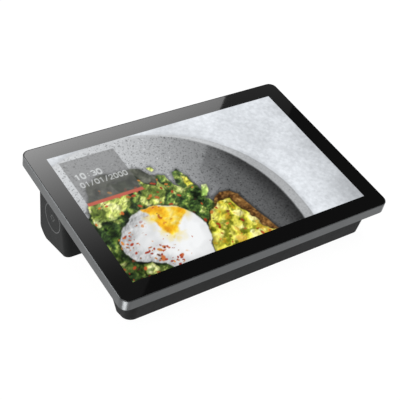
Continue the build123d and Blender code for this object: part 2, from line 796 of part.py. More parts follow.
# ---- power button and its switch ----
button_flange_gap = 0.1  # behind the leg's wall, at rest
button_flange_radius = 5.6
button_flange_thickness = 1.2
stem_radius = 1.5
plunger_radius = 1.7
plunger_fit = 0.08
plunger_length = 2.0
switch_size = (6.2, 6.2)
switch_corner = 0.5
switch_height = 3.5
# the plunger stands half out of its bore, which leaves room under it for twice the travel
switch_bore_depth = plunger_length / 2 + 2 * button_travel
switch_top = switch_board_level - switch_height
flange_top = leg_wall + button_flange_gap
flange_bottom = flange_top + button_flange_thickness
stem_end = switch_top - plunger_length / 2
button_edge_radius = 0.35
with BuildPart() as power_button:
    extrude(discs(button_plane.offset(-flange_bottom), [(0, 0)], button_flange_radius),
            amount=button_flange_thickness)
    extrude(discs(button_plane.offset(-flange_bottom), [(0, 0)], button_radius),
            amount=flange_bottom + button_proud)
    extrude(discs(button_plane.offset(-stem_end), [(0, 0)], stem_radius),
            amount=stem_end - flange_bottom)
    cap_edge = power_button.faces().sort_by(Axis.X)[-1].edges()
    fillet(cap_edge, radius=button_edge_radius)
save(power_button, "power_button")

with BuildPart() as switch_plunger:
    extrude(discs(button_plane.offset(-stem_end - plunger_length), [(0, 0)], plunger_radius),
            amount=plunger_length)
save(switch_plunger, "switch_plunger")

with BuildPart() as switch_housing:
    extrude(block(button_plane.offset(-switch_board_level), (0, 0), switch_size,
                  switch_corner),
            amount=switch_height)
    extrude(discs(button_plane.offset(-switch_top), [(0, 0)], plunger_radius + plunger_fit),
            amount=-switch_bore_depth, mode=Mode.SUBTRACT)
save(switch_housing, "switch_housing")

switch_board_size = (24.0, 12.0)
switch_board_thickness = 1.6
with BuildPart() as switch_board:
    inner_face = button_plane.offset(-switch_board_level - switch_board_thickness)
    extrude(block(inner_face, (0, 0), switch_board_size, small_board_corner),
            amount=switch_board_thickness)
    extrude(discs(inner_face, post_places, thread_radius), amount=switch_board_thickness,
            mode=Mode.SUBTRACT)
save(switch_board, "switch_board")

screw_side = Plane(origin=inner_face.origin, x_dir=(0, -1, 0), z_dir=(1, 0, 0))
post_bite = 4.5  # length of thread in each post
save(
    pan_screws(screw_side, post_places, switch_board_thickness + post_bite),
    "switch_screws",
)

button_lead_y = 59.0
button_lead_z = 28.6
lead_sag = 4.6
lead_gap = 0.4  # clear of each board
lead_run = 12.0  # from each board to the lead's low stretch
board_edge = io_board_width / 2
switch_face = inner_face.origin.X
button_lead_points = (
    (switch_face - lead_gap, button_lead_z),
    (switch_face - lead_run, button_lead_z - lead_sag),
    (board_edge + lead_run, button_lead_z - lead_sag),
    (board_edge + lead_gap, button_lead_z),
)
save(lead(Plane.XZ.offset(-button_lead_y), button_lead_points, lead_bend), "button_lead")


# ---- front foot ----
def foot_side(inset, over):
    """Side outline of the foot on the YZ plane.

    Its walls are drawn in by inset, and its top stands over the dish's underside by over.
    """
    front = foot_front_y + inset / cos(radians(foot_front_lean))
    rear = foot_rear_y - inset / cos(radians(foot_rear_lean))
    floor = base_z + inset
    front -= tan(radians(foot_front_lean)) * inset
    rear += tan(radians(foot_rear_lean)) * inset
    front_top = meet_dish(front, floor, -foot_front_lean)
    rear_top = meet_dish(rear, floor, foot_rear_lean)
    with BuildSketch(Plane.YZ) as outline:
        with BuildLine():
            Polyline(
                (front, floor),
                (rear, floor),
                (rear_top[0] + tan(radians(foot_rear_lean)) * over, rear_top[1] + over),
                (front_top[0] - tan(radians(foot_front_lean)) * over, front_top[1] + over),
                close=True,
            )
        make_face()
    return outline.sketch


foot_boss_radius = 3.6
foot_boss_height = 12.0
rib_length = 23.0
rib_thickness = 1.8
foot_overcut = 5.0  # the hollow is cut this far past the foot's top
pad_recess = 1.0
foot_pad_size = (40.0, 11.0)
foot_pad_places = [(-86.0, -54.2), (86.0, -54.2)]
pad_radius = 2.0
pad_gap = 0.2
pad_edge = 0.3
with BuildPart() as front_foot:
    extrude(foot_side(0, 0), amount=foot_half_width, both=True)
    # of the edges round the foot's two ends, the foremost pair and the rearmost pair are the
    # leaning corners
    ends = front_foot.faces().filter_by(Axis.X)
    end_edges = ends.edges().sort_by(Axis.Y)
    front_corners = end_edges[:2]
    rear_corners = end_edges[-2:]
    fillet(front_corners, radius=foot_front_radius)
    fillet(rear_corners, radius=foot_rear_radius)
    extrude(foot_side(foot_wall, foot_overcut), amount=foot_half_width - foot_wall, both=True,
            mode=Mode.SUBTRACT)
    extrude(discs(level(dish_depth), foot_screw_places, foot_boss_radius), amount=-foot_boss_height)
    for x, v in foot_screw_places:
        # a rib ties each boss to the front wall
        extrude(block(level(dish_depth), (x, v - rib_length / 2), (rib_thickness, rib_length)),
                amount=-foot_boss_height)
    extrude(discs(level(dish_depth), foot_screw_places, thread_radius), amount=-foot_boss_height,
            mode=Mode.SUBTRACT)
    for place in foot_pad_places:
        extrude(block(Plane.XY.offset(base_z), place, grown(foot_pad_size, pad_gap),
                      pad_radius + pad_gap),
                amount=pad_recess, mode=Mode.SUBTRACT)
save(front_foot, "front_foot")

# ---- rubber pads ----
for side, place in zip(("left", "right"), foot_pad_places):
    with BuildPart() as foot_pad:
        extrude(block(Plane.XY, place, foot_pad_size, pad_radius), amount=base_z + pad_recess)
        chamfer(foot_pad.faces().sort_by(Axis.Z)[0].edges(), length=pad_edge)
    save(foot_pad, f"foot_pad_{side}")

leg_pad_size = (24.0, 18.0)
leg_pad_places = [(-36.0, cover_y), (36.0, cover_y)]
for side, place in zip(("left", "right"), leg_pad_places):
    with BuildPart() as leg_pad:
        extrude(block(Plane.XY, place, leg_pad_size, pad_radius), amount=cover_face)
        chamfer(leg_pad.faces().sort_by(Axis.Z)[0].edges(), length=pad_edge)
    save(leg_pad, f"leg_pad_{side}")
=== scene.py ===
"""Looks of a ten inch smart display on a fixed wedge stand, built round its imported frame.

The slab of the screen slopes up towards the back between a hollow front foot and a deeper leg.
Lengths are in metres unless a name ends in _mm, and every piece is made where it stands, in the
frame of the CAD parts: +X to the user's right, +Y away from the user, +Z up from the table.
"""

import logging
import math
from dataclasses import dataclass
from enum import Enum

import bmesh
import bpy
import numpy as np
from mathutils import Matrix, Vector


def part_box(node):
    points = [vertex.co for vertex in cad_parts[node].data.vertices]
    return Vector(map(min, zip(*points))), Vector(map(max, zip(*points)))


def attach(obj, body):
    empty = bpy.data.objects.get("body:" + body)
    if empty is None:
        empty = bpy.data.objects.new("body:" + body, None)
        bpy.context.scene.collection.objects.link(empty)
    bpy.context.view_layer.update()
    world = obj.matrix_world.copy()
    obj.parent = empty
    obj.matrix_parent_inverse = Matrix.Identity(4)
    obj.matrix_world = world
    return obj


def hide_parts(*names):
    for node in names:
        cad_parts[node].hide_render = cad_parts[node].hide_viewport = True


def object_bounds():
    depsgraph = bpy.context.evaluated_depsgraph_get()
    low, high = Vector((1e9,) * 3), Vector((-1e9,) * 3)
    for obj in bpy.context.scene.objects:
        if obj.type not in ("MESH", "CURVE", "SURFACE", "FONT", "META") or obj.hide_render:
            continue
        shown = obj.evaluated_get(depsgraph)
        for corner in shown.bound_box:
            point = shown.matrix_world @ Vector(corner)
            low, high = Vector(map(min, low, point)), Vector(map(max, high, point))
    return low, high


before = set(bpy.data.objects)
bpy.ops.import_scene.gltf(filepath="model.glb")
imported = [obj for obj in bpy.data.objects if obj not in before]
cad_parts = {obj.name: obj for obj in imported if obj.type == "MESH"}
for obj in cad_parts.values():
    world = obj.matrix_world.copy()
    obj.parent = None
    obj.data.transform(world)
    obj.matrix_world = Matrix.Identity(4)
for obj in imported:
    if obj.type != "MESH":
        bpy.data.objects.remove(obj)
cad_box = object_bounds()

Array = np.ndarray
Node = bpy.types.Node
Object = bpy.types.Object
Material = bpy.types.Material
Output = bpy.types.NodeSocket
Point = tuple[float, float]

MM = 0.001
BODY = "chassis"
SHARP_ANGLE = math.radians(35)  # edges between smooth faces stay sharp above this
NOISE_SQUARES = 256  # to a side, before the noise repeats
CRUMB_SQUARES = 128  # to a side, before the crumbs repeat
CRUMB_LENGTH = 1.6  # of a crumb, over its width
LEAST_CRUMB = 0.35  # radius of the smallest crumb, over the largest

log = logging.getLogger("smart_display")


# ---- colour, noise and outlines -------------------------------------------------------------


def tone(code: str) -> Array:
    """Red, green and blue from 0 to 1 of an sRGB hex code."""
    return np.array([int(code[i:i + 2], 16) / 255 for i in (1, 3, 5)])


def linear(colour: str | Array) -> Array:
    """Turn sRGB, a hex code or an array, into linear light.

    Args:
        colour: hex code, or an array whose last axis is red, green and blue.

    Returns:
        Array of the same shape: c / 12.92 in the dark, ((c + 0.055) / 1.055) ** 2.4 above.
    """
    c = tone(colour) if isinstance(colour, str) else colour
    return np.where(c <= 0.04045, c / 12.92, ((c + 0.055) / 1.055) ** 2.4)


def soften(value: Array, low: float, high: float) -> Array:
    """Smooth step: 0 at low, 1 at high, 3t^2 - 2t^3 between them."""
    t = np.clip((value - low) / (high - low), 0.0, 1.0)
    return t * t * (3.0 - 2.0 * t)


def lattice_noise(x: Array, y: Array, size: float, seed: int) -> Array:
    """Value noise: random heights at the corners of squares, joined by smooth steps.

    Args:
        x, y: places.
        size: side of the squares, in the unit of x and y.
        seed: of the random heights.

    Returns:
        Heights from 0 to 1.
    """
    table = np.random.default_rng(seed).random((NOISE_SQUARES, NOISE_SQUARES))
    column, row = np.floor(x / size).astype(int), np.floor(y / size).astype(int)
    s, t = soften(x / size - column, 0, 1), soften(y / size - row, 0, 1)
    left, right = column % NOISE_SQUARES, (column + 1) % NOISE_SQUARES
    low, high = row % NOISE_SQUARES, (row + 1) % NOISE_SQUARES
    below = table[low, left] * (1 - s) + table[low, right] * s
    above = table[high, left] * (1 - s) + table[high, right] * s
    return below * (1 - t) + above * t


def fractal(x: Array, y: Array, size: float, seed: int, octaves: int = 4) -> Array:
    """Sum of lattice noises, each half the size and half the weight of the one before.

    Args:
        x, y: places.
        size: side of the first noise's squares.
        seed: of the first noise. Each of the others has the next one.
        octaves: how many noises.

    Returns:
        Heights from 0 to 1.
    """
    weights = 0.5 ** np.arange(octaves)
    layers = [w * lattice_noise(x, y, size * w, seed + k) for k, w in enumerate(weights)]
    return np.sum(layers, axis=0) / weights.sum()


def crumbs(x: Array, y: Array, spacing: float, radius: float, share: float,
           seed: int) -> tuple[Array, Array]:
    """Small ovals, at most one in each square, at a random place, turn and size.

    Args:
        x, y: places.
        spacing: side of the squares.
        radius: of the largest crumb.
        share: of the squares that hold a crumb.
        seed: of the random draws.

    Returns:
        Cover from 0 to 1, and a number from 0 to 1 that is the same all over one crumb.
    """
    random = np.random.default_rng(seed).random((5, CRUMB_SQUARES, CRUMB_SQUARES))
    column, row = np.floor(x / spacing).astype(int), np.floor(y / spacing).astype(int)
    cover, mark = np.zeros(x.shape), np.zeros(x.shape)
    for i in (-1, 0, 1):
        for j in (-1, 0, 1):
            square = (row + j) % CRUMB_SQUARES, (column + i) % CRUMB_SQUARES
            place_x, place_y, turn, size, chosen = random[:, *square]
            du, dv = x - (column + i + place_x) * spacing, y - (row + j + place_y) * spacing
            cos, sin = np.cos(turn * np.pi), np.sin(turn * np.pi)
            reach = np.hypot(du * cos + dv * sin, CRUMB_LENGTH * (dv * cos - du * sin))
            reach = reach / (radius * (LEAST_CRUMB + (1 - LEAST_CRUMB) * size))
            here = soften(-reach, -1.25, -0.8) * (chosen < share)
            mark = np.where(here > cover, turn, mark)
            cover = np.maximum(cover, here)
    return cover, mark


def path_distance(x: Array, y: Array, points: list[Point]) -> Array:
    """Distance to a path of straight runs: the least of the distances to its runs.

    Args:
        x, y: places.
        points: corners of the path.

    Returns:
        Distances, never negative.
    """
    nearest = np.full(x.shape, np.inf)
    for start, end in zip(points[:-1], points[1:]):
        run = np.subtract(end, start)
        along = ((x - start[0]) * run[0] + (y - start[1]) * run[1]) / (run @ run)
        along = np.clip(along, 0, 1)
        gap = np.hypot(x - start[0] - along * run[0], y - start[1] - along * run[1])
        nearest = np.minimum(nearest, gap)
    return nearest


def outline(x: Array, y: Array, corners: tuple[Point, ...]) -> Array:
    """Signed distance to a closed outline. A ray from a place inside crosses it an odd number of times.

    Args:
        x, y: places.
        corners: of the outline, which the last one joins to the first.

    Returns:
        Distances, negative inside.
    """
    closed = [*corners, corners[0]]
    inside = np.zeros(x.shape, bool)
    for (ax, ay), (bx, by) in zip(closed[:-1], closed[1:]):
        if ay != by:
            inside ^= ((ay > y) != (by > y)) & (x < (bx - ax) * (y - ay) / (by - ay) + ax)
    return np.where(inside, -1.0, 1.0) * path_distance(x, y, closed)


def oval(x: Array, y: Array, middle: Point, radii: Point, power: float) -> Array:
    """Rough signed distance to |u|^power + |v|^power = 1, u and v measured in the radii."""
    u, v = np.abs(x - middle[0]) / radii[0], np.abs(y - middle[1]) / radii[1]
    return ((u**power + v**power) ** (1 / power) - 1) * min(radii)


def ramp(value: Array, *stops: tuple[float, str]) -> Array:
    """Colours of a value, straight from one stop's colour to the next.

    Args:
        value: where on the ramp.
        stops: the ramp's values in rising order, each with its hex code.

    Returns:
        sRGB colours, on one more axis.
    """
    places = [place for place, _ in stops]
    colours = np.array([tone(code) for _, code in stops])
    return np.stack([np.interp(value, places, colours[:, k]) for k in range(3)], axis=-1)


def put(base: Array, layer: Array, cover: Array) -> Array:
    """Lay one picture over another where its cover is above 0."""
    return base + (layer - base) * cover[..., None]


# ---- picture on the screen ------------------------------------------------------------------

# paths of the clock's digits, in a box 1 wide and 1.6 high
STROKES = {
    "1": [[(0.2, 1.3), (0.55, 1.6), (0.55, 0)]],
    "2": [[(0, 1.25), (0.15, 1.52), (0.5, 1.6), (0.85, 1.52), (1, 1.2), (0.8, 0.8), (0, 0), (1, 0)]],
    "3": [[(0, 1.45), (0.5, 1.6), (0.9, 1.45), (0.92, 1.1), (0.5, 0.85), (1, 0.55), (0.92, 0.15),
           (0.5, 0), (0, 0.15)]],
    "/": [[(0.15, -0.1), (0.85, 1.7)]],
    ":": [[(0.5, 0.4), (0.5, 0.41)], [(0.5, 1.1), (0.5, 1.11)]],
}


@dataclass(frozen=True)
class Patch:
    """One piece of food: a closed outline in mm from the picture's middle, with a ragged edge."""

    seed: int
    ragged: float  # how far its edge wanders, in all
    corners: tuple[Point, ...]
    grain: float = 8.0  # size of the noise on its edge

    def shape(self, x: Array, y: Array) -> Array:
        """Signed distance to the outline, moved in and out by noise; negative inside."""
        wander = (fractal(x, y, self.grain, self.seed) - 0.5) * self.ragged
        return outline(x, y, self.corners) + wander


LEAVES = Patch(101, 9, ((-115, -8), (-103, 8), (-92, 22), (-76, 29), (-56, 27), (-46, 17), (-34, 16),
                        (-30, 4), (-14, -4), (-13, -18), (-8, -32), (-30, -52), (-70, -74), (-118, -74)))
WILTED = Patch(111, 6, ((-96, 29), (-80, 36), (-48, 31), (-38, 19), (-40, 10), (-56, 14), (-98, 12)))
SPRIG = Patch(121, 4, ((-24, 17), (-19, 19), (-15, 10), (-15, -2), (-24, -2), (-27, 6)))
SPRIG_LIGHT = Patch(127, 4, ((-20, 12), (-16, 8), (-15, -1), (-21, -1)))
STALK = Patch(123, 2, ((-10, -4), (-6, -5), (-7, -11), (-12, -16), (-17, -15), (-13, -9)))
CRUMB = Patch(129, 2, ((-41, 29), (-37, 29), (-36, 25), (-39, 24)))
AVOCADO = (
    Patch(131, 7, ((-54, 22), (-50, 14), (-44, 8), (-41, 13), (-37, 8), (-40, 0), (-47, -6),
                   (-52, -12), (-66, -9), (-62, 2), (-58, 10))),
    Patch(141, 7, ((-102, 9), (-92, 11), (-68, 11), (-72, 2), (-78, -6), (-90, -12), (-100, -10),
                   (-108, -18), (-108, -4))),
    Patch(151, 3, ((-93, -57), (-86, -57), (-83, -64), (-88, -69), (-95, -66))),
)
TOAST = Patch(161, 1.6, ((-12, -27), (-8, -20), (-1, -17), (7, -18), (12, -24), (14, -36), (18, -55),
                         (22, -72), (-30, -72), (-26, -40)))
SPREAD = Patch(171, 5.5, ((-9, -24), (3, -26), (5, -36), (10, -50), (10, -60), (21, -69), (-40, -76),
                          (-34, -57), (-28, -42), (-21, -34), (-11, -29)), 6.0)
EGG = Patch(181, 3.4, ((-78, -12), (-68, -8.5), (-53, -9.5), (-40, -16), (-32, -28), (-28.5, -41),
                       (-31, -52), (-36, -60), (-40, -74), (-72, -74), (-78, -63), (-88, -57),
                       (-96, -52), (-100, -44), (-99, -32), (-90, -20)), 6.0)
YOLK = Patch(191, 8, ((-68, -9), (-60, -8), (-50, -10), (-42, -15), (-36, -21), (-38, -27), (-46, -32),
                      (-50, -37), (-59, -44), (-61, -36), (-63, -24)), 7.0)

LEAF_TONES = ("#10170e", "#23331d", "#3c552b", "#5f7b39", "#93a650", "#cfd98a")
WILT_TONES = ("#2b2e28", "#3d4038", "#4c4f45", "#5a5d51", "#696b60", "#7a7b70")
AVOCADO_TONES = ("#39431f", "#6f7f3d", "#9dab52", "#bcc868", "#d4dc86", "#e9ecab")
SPREAD_TONES = ("#4d4c16", "#85842a", "#b5b039", "#d3cd4f", "#e5dd66", "#f3eb9b")
STALK_TONES = ("#6f8f45", "#7f9f50", "#8fae58", "#a3bf68", "#bbd080", "#d3e09e")
CRUST_TONES = ("#3a2413", "#5a3b1e", "#72502b", "#876033", "#9c733f", "#b58a54")
GOLD_TONES = ("#c8761a", "#e39a1e", "#f1b522", "#f7c832", "#f6d75c", "#f4e29a")
FLAKE_TONES = ("#8e2a1c", "#a83a24", "#bd5a30", "#e08e3a", "#74402a", "#32251f")


@dataclass(frozen=True)
class ScreenPicture:
    """A breakfast in a speckled stoneware bowl on pale stone, under a card with a clock and a date.

    Every layer is a formula of x and y, in mm from the picture's middle, and gives sRGB colours.
    """

    width: float
    height: float
    columns: int = 362
    rows: int = 226
    bowl_middle: Point = (-58.0, -45.0)
    rim_radii: Point = (115.5, 113.5)
    well_radii: Point = (106.5, 113.0)
    bowl_power: float = 2.12
    card_box: tuple[float, float, float, float] = (-102.1, -54.1, 9.4, 59.8)  # left, right, low, high
    card_bar: float = 3.2
    card_grey: float = 0.225
    card_clear: float = 0.45  # share of what lies below that shows through the card
    card_margin: float = 4.7
    sign_pitch: float = 1.42  # from one sign to the next, over its width
    slope_right: float = 0.75  # how much a slope that rises to the right is lighter
    slope_up: float = -0.65  # and one that rises upwards

    def grid(self) -> tuple[Array, Array]:
        """Places of the picture's points, row by row from its lower left.

        Returns:
            Their x and their y.
        """
        x = np.linspace(-self.width / 2, self.width / 2, self.columns + 1)
        y = np.linspace(-self.height / 2, self.height / 2, self.rows + 1)
        return np.meshgrid(x, y)

    def relief(self, height: Array, x: Array, y: Array, strength: float, low: float, high: float) -> Array:
        """Light from the upper left on a bumpy surface: 1 plus a share of its two slopes, in bounds.

        Args:
            height: of the surface.
            x, y: places.
            strength: of the light.
            low, high: bounds.

        Returns:
            What the surface's colours are multiplied by.
        """
        rise_y, rise_x = np.gradient(height, y[:, 0], x[0, :])
        slope = self.slope_right * rise_x + self.slope_up * rise_y
        return np.clip(1 + strength * slope, low, high)[..., None]

    def food(self, x: Array, y: Array, tones: tuple[str, ...], seed: int, size: float, bump: float,
             lift: float = 0.0) -> Array:
        """Lumpy food: noise bent by other noise gives its height, which also picks its colour.

        Args:
            x, y: places.
            tones: colours from the hollows to the tops, spread evenly over the height.
            seed: of the noise.
            size: of the lumps.
            bump: strength of the light on them.
            lift: added to the height where the colour is picked.

        Returns:
            Colours.
        """
        bend_x, bend_y = (k + 5 * (fractal(x, y, 9, seed + n, 3) - 0.5) for k, n in ((x, 0), (y, 5)))
        lump = fractal(bend_x, bend_y, size, seed + 12, 5)
        hue = fractal(x, y, 10, seed + 21, 3)
        stops = zip(np.linspace(0.28, 0.72, len(tones)), tones)
        colours = ramp(0.6 * lump + 0.4 * hue + lift, *stops)
        return np.clip(colours * self.relief(lump, x, y, bump, 0.5, 1.35), 0, 1)

    def stone(self, x: Array, y: Array) -> Array:
        """Pale stone: faint clouds and a fine grain, darker towards its right edge.

        Args:
            x, y: places.

        Returns:
            Colours.
        """
        cloud, fine = fractal(x, y, 34, 11, 5) - 0.5, fractal(x, y, 2.2, 17, 3) - 0.5
        edge = 0.07 * soften(x, 88, 108) + 0.10 * soften(-y, 10, 62) * soften(x, 62, 112)
        value = 0.885 + 0.20 * cloud + 0.13 * fine - edge - 0.05 * soften(-x - 40, 0, 60)
        return value[..., None] * np.array([0.982, 1.0, 1.022])

    def bowl(self, x: Array, y: Array) -> tuple[Array, Array]:
        """The bowl: a broad rim round a well that darkens to the right, speckled all over.

        Both its outlines are |u|^p + |v|^p = 1, with u and v measured in its radii. A crisp slanting
        shadow falls across the well.

        Args:
            x, y: places.

        Returns:
            Colours, and the signed distance to its outer edge.
        """
        wobble = fractal(x, y, 9, 23, 2) - 0.5
        outer = oval(x, y, self.bowl_middle, self.rim_radii, self.bowl_power) + 0.6 * wobble
        inner = oval(x, y, self.bowl_middle, self.well_radii, self.bowl_power) + 0.5 * wobble
        grain, cloud = fractal(x, y, 1.5, 41, 2) - 0.5, fractal(x, y, 22, 43, 3) - 0.5
        well = np.interp(x, (-110, -50, -25, -8, 4, 46), (0.80, 0.735, 0.672, 0.60, 0.56, 0.43))
        well = well + 0.0008 * (y - 25) - 0.06 * soften(-x - 50, 0, 50) * soften(30 - y, 0, 40)
        shadow = soften((x - y + 12.3) * 0.707, -1.6, 1.6) * soften(x, -12, 12)
        well = well * (1 - 0.17 * shadow)
        well = well * (1 - 0.36 * soften(inner, -20, -1) * soften(x - 0.25 * y, 10, 34))
        rim = 0.79 - 0.10 * soften(x - 0.6 * y, -10, 50) - 0.05 * soften(outer, -1.8, 0.1)
        on_rim = soften(inner / (1 + 4 * soften(-x, 10, 60)), -1.2, 1.0)
        value = well + (rim - well) * on_rim + 0.07 * grain + 0.04 * cloud
        specks = ((2.3, 0.85, 0.8, 31, -0.26), (6.5, 1.2, 0.4, 37, -0.26), (8.5, 1.0, 0.5, 39, 0.18))
        for spacing, radius, share, seed, depth in specks:
            speck, _ = crumbs(x, y, spacing, radius, share, seed)
            value = value * (1 + depth * speck * (1 - 0.75 * on_rim))
        return value[..., None] * np.array([0.992, 1.003, 1.014]), outer

    def lay(self, image: Array, x: Array, y: Array, patch: Patch, layer: Array,
            shadow: float = 0.0) -> tuple[Array, Array]:
        """Lay a piece of food over the image, with a soft shadow round it.

        Args:
            image: below it.
            x, y: places.
            patch: its outline.
            layer: its colours.
            shadow: how dark its shadow is.

        Returns:
            The new image, and the signed distance to the piece's edge.
        """
        shape = patch.shape(x, y)
        image = image * (1 - shadow * soften(-shape, -3.5, 0.8))[..., None]
        return put(image, layer, soften(-shape, -0.5, 0.9)), shape

    def greens(self, image: Array, x: Array, y: Array) -> tuple[Array, Array]:
        """Lay the leaves, the wilted leaf, the sprig and its stalk, and the mashed avocado.

        Args:
            image: below them.
            x, y: places.

        Returns:
            The new image, and the signed distance to the edge of the leaves.
        """
        kale = self.food(x, y, LEAF_TONES, 201, 3.6, 2.0, 0.02)
        kale = kale * (1 - 0.3 * soften(-y - 28, 0, 22) * soften(-x - 60, 0, 30))[..., None]
        image, leaves = self.lay(image, x, y, LEAVES, kale, 0.45)
        wilted = self.food(x, y, WILT_TONES, 119, 5.0, 0.8, -0.06)
        image, _ = self.lay(image, x, y, WILTED, wilted, 0.3)
        sprig = self.food(x, y, LEAF_TONES, 241, 4.0, 1.4, 0.08)
        image, _ = self.lay(image, x, y, SPRIG, sprig, 0.3)
        pale = [(SPRIG_LIGHT, SPREAD_TONES, 0.04), (STALK, STALK_TONES, 0.05),
                (CRUMB, AVOCADO_TONES, 0.12), *((mash, AVOCADO_TONES, 0.05) for mash in AVOCADO)]
        for patch, tones, lift in pale:
            layer = self.food(x, y, tones, patch.seed + 200, 4.6, 2.4, lift)
            image, _ = self.lay(image, x, y, patch, layer, 0.25)
        gaps = soften(fractal(x, y, 9, 611, 3), 0.52, 0.62) * soften(-leaves, 0, 2) * soften(-x - 28, 0, 6)
        return put(image, image * np.array([0.42, 0.5, 0.34]), 0.75 * gaps), leaves

    def toast(self, image: Array, x: Array, y: Array) -> tuple[Array, Array]:
        """Lay the toast and the spread on it.

        Args:
            image: below them.
            x, y: places.

        Returns:
            The new image, and the signed distance to the edge of the spread.
        """
        image, _ = self.lay(image, x, y, TOAST, self.food(x, y, CRUST_TONES, 163, 1.8, 0.35), 0.5)
        mash = self.food(x, y, SPREAD_TONES, 401, 7.0, 2.4, 0.08)
        image, spread = self.lay(image, x, y, SPREAD, mash, 0.4)
        hollow = soften(fractal(x, y, 6, 411, 3), 0.58, 0.70) * soften(-spread, -0.5, 1)
        image = put(image, image * np.array([0.60, 0.64, 0.40]), hollow)
        warm = soften(fractal(x, y, 5, 421, 3), 0.62, 0.72) * soften(-spread, 0, 1.5)
        return put(image, tone("#e7a927"), 0.5 * warm), spread

    def egg(self, image: Array, x: Array, y: Array) -> tuple[Array, Array]:
        """Lay the poached egg: a smooth white with folds along its left side, and a runny yolk.

        Args:
            image: below it.
            x, y: places.

        Returns:
            The new image, and the signed distance to the edge of the white.
        """
        shape = EGG.shape(x, y)
        deep = soften(-shape, 0, 15)
        puff = fractal(x, y, 24, 183, 3)
        fold = fractal(x + 0.5 * y, y - 0.4 * x, 6, 187, 4) * (1 - deep) * soften(-x, 45, 85)
        left = soften(-x - 0.25 * y - 58, -4, 22)
        value = 0.91 + 0.05 * deep + 0.05 * (puff - 0.5) - 0.16 * left * (1 - 0.7 * deep)
        light = self.relief(puff, x, y, 1.6, 0.88, 1.05) * self.relief(fold, x, y, 1.7, 0.64, 1.1)
        white = np.clip(value[..., None] * light, 0, 0.965) * np.array([0.994, 1.0, 1.004])
        image, shape = self.lay(image, x, y, EGG, white, 0.5)
        yolk = YOLK.shape(x, y)
        inside = soften(-shape, -0.2, 0.8)
        stain = soften(-yolk, -8, 0) * soften(fractal(x, y, 7, 197, 3), 0.42, 0.66)
        image = put(image, tone("#f5dd84"), 0.65 * stain * inside)
        gold = self.food(x, y, GOLD_TONES, 193, 6.0, 0.7, 0.0)
        return put(image, gold, soften(-yolk, -1.2, 1.8) * inside), shape

    def flakes(self, image: Array, x: Array, y: Array, egg: Array, greens: Array,
               spread: Array) -> Array:
        """Sprinkle pepper flakes: dense along the egg's lower left, thin over the rest of the food.

        Args:
            image: below them.
            x, y: places.
            egg, greens, spread: signed distances to the edges of the food.

        Returns:
            The new image.
        """
        band = path_distance(x, y, [(-98, -30), (-92, -46), (-66, -58), (-68, -66)])
        drift = path_distance(x, y, [(-92, -28), (-68, -26), (-56, -22), (-64, -10)])
        on_egg = soften(-egg, 0.3, 2)
        dense = soften(12 - band, 0, 8) + 0.45 * soften(11 - drift, 0, 8)
        patchy = soften(fractal(x, y, 7, 511, 2), 0.36, 0.52)
        elsewhere = np.maximum(soften(-greens, 1, 3), soften(-spread, 0.5, 2)) * (1 - soften(-egg, -1, 1))
        for spacing, radius, share, seed, where in (
                (5.0, 2.9, 0.80, 521, dense * patchy), (3.4, 1.4, 0.60, 531, dense * patchy),
                (9.0, 1.1, 0.40, 551, 1 + 0 * x), (6.5, 2.0, 0.45, 541, None)):
            cover, mark = crumbs(x, y, spacing, radius, share, seed)
            place = elsewhere if where is None else np.clip(where, 0, 1) * on_egg
            place = np.where(mark * 0.97 < place, place, 0.0)
            stops = zip((0.0, 0.22, 0.42, 0.66, 0.84, 1.0), FLAKE_TONES)
            image = put(image, ramp(mark * 7.3 % 1, *stops), 0.92 * cover * np.minimum(place * 1.5, 1))
        return image

    def card(self, image: Array, x: Array, y: Array) -> Array:
        """Lay the clear grey card with its red bar, and write a clock and a date on it.

        Args:
            image: below it.
            x, y: places.

        Returns:
            The new image.
        """
        left, right, low, high = self.card_box
        inside = soften(np.minimum.reduce([x - left, right - x, y - low, high - y]), -0.3, 0.3)
        image = put(image, self.card_clear * image + self.card_grey, inside)
        on_bar = soften(low + self.card_bar - y, -0.3, 0.3)
        image = put(image, tone("#c4614f"), 0.95 * inside * on_bar)
        for text, base, size, stroke in (("10:30", 37.8, 3.3, 0.52), ("01/01/2000", 29.0, 2.9, 0.34)):
            for k, sign in enumerate(text):
                u, v = (x - left - self.card_margin) / size - self.sign_pitch * k, (y - base) / size
                if sign == "0":
                    gap = np.abs(oval(u, v, (0.5, 0.8), (0.5, 0.8), 2.6))
                else:
                    gap = np.minimum.reduce([path_distance(u, v, path) for path in STROKES[sign]])
                image = put(image, tone("#d9dcdc"), 0.85 * soften(stroke - gap * size, -0.25, 0.25))
        return image

    def paint(self, x: Array, y: Array) -> Array:
        """Lay all the layers, from the stone to the card.

        Args:
            x, y: places.

        Returns:
            sRGB colours from 0 to 1.
        """
        bowl, outer = self.bowl(x, y)
        image = self.stone(x, y) * (1 - 0.07 * soften(-outer, -5, 0.5))[..., None]
        image = put(image, bowl, soften(-outer, -0.5, 0.5))
        image, greens = self.greens(image, x, y)
        image, spread = self.toast(image, x, y)
        image, egg = self.egg(image, x, y)
        image = self.flakes(image, x, y, egg, greens, spread)
        return np.clip(self.card(image, x, y), 0, 1)


# ---- meshes ---------------------------------------------------------------------------------


def grid_faces(rows: int, columns: int, wrap_rows: bool, wrap_columns: bool) -> Array:
    """Quads between neighbours on a grid of points counted row by row.

    Args:
        rows, columns: of points.
        wrap_rows, wrap_columns: whether the last row or column joins the first.

    Returns:
        Point numbers, four to a face.
    """
    i, j = np.meshgrid(np.arange(rows - (not wrap_rows)), np.arange(columns - (not wrap_columns)),
                       indexing="ij")
    down, right = (i + 1) % rows, (j + 1) % columns
    corners = [i * columns + j, i * columns + right, down * columns + right, down * columns + j]
    return np.stack(corners, axis=-1).reshape(-1, 4)


def volume(points: Array, faces: Array) -> float:
    """Six times the volume inside quads, negative if they face inwards."""
    a, b, c, d = (points[faces[:, k]] for k in range(4))
    return float(np.sum(np.cross(a, b) * c) + np.sum(np.cross(a, c) * d))


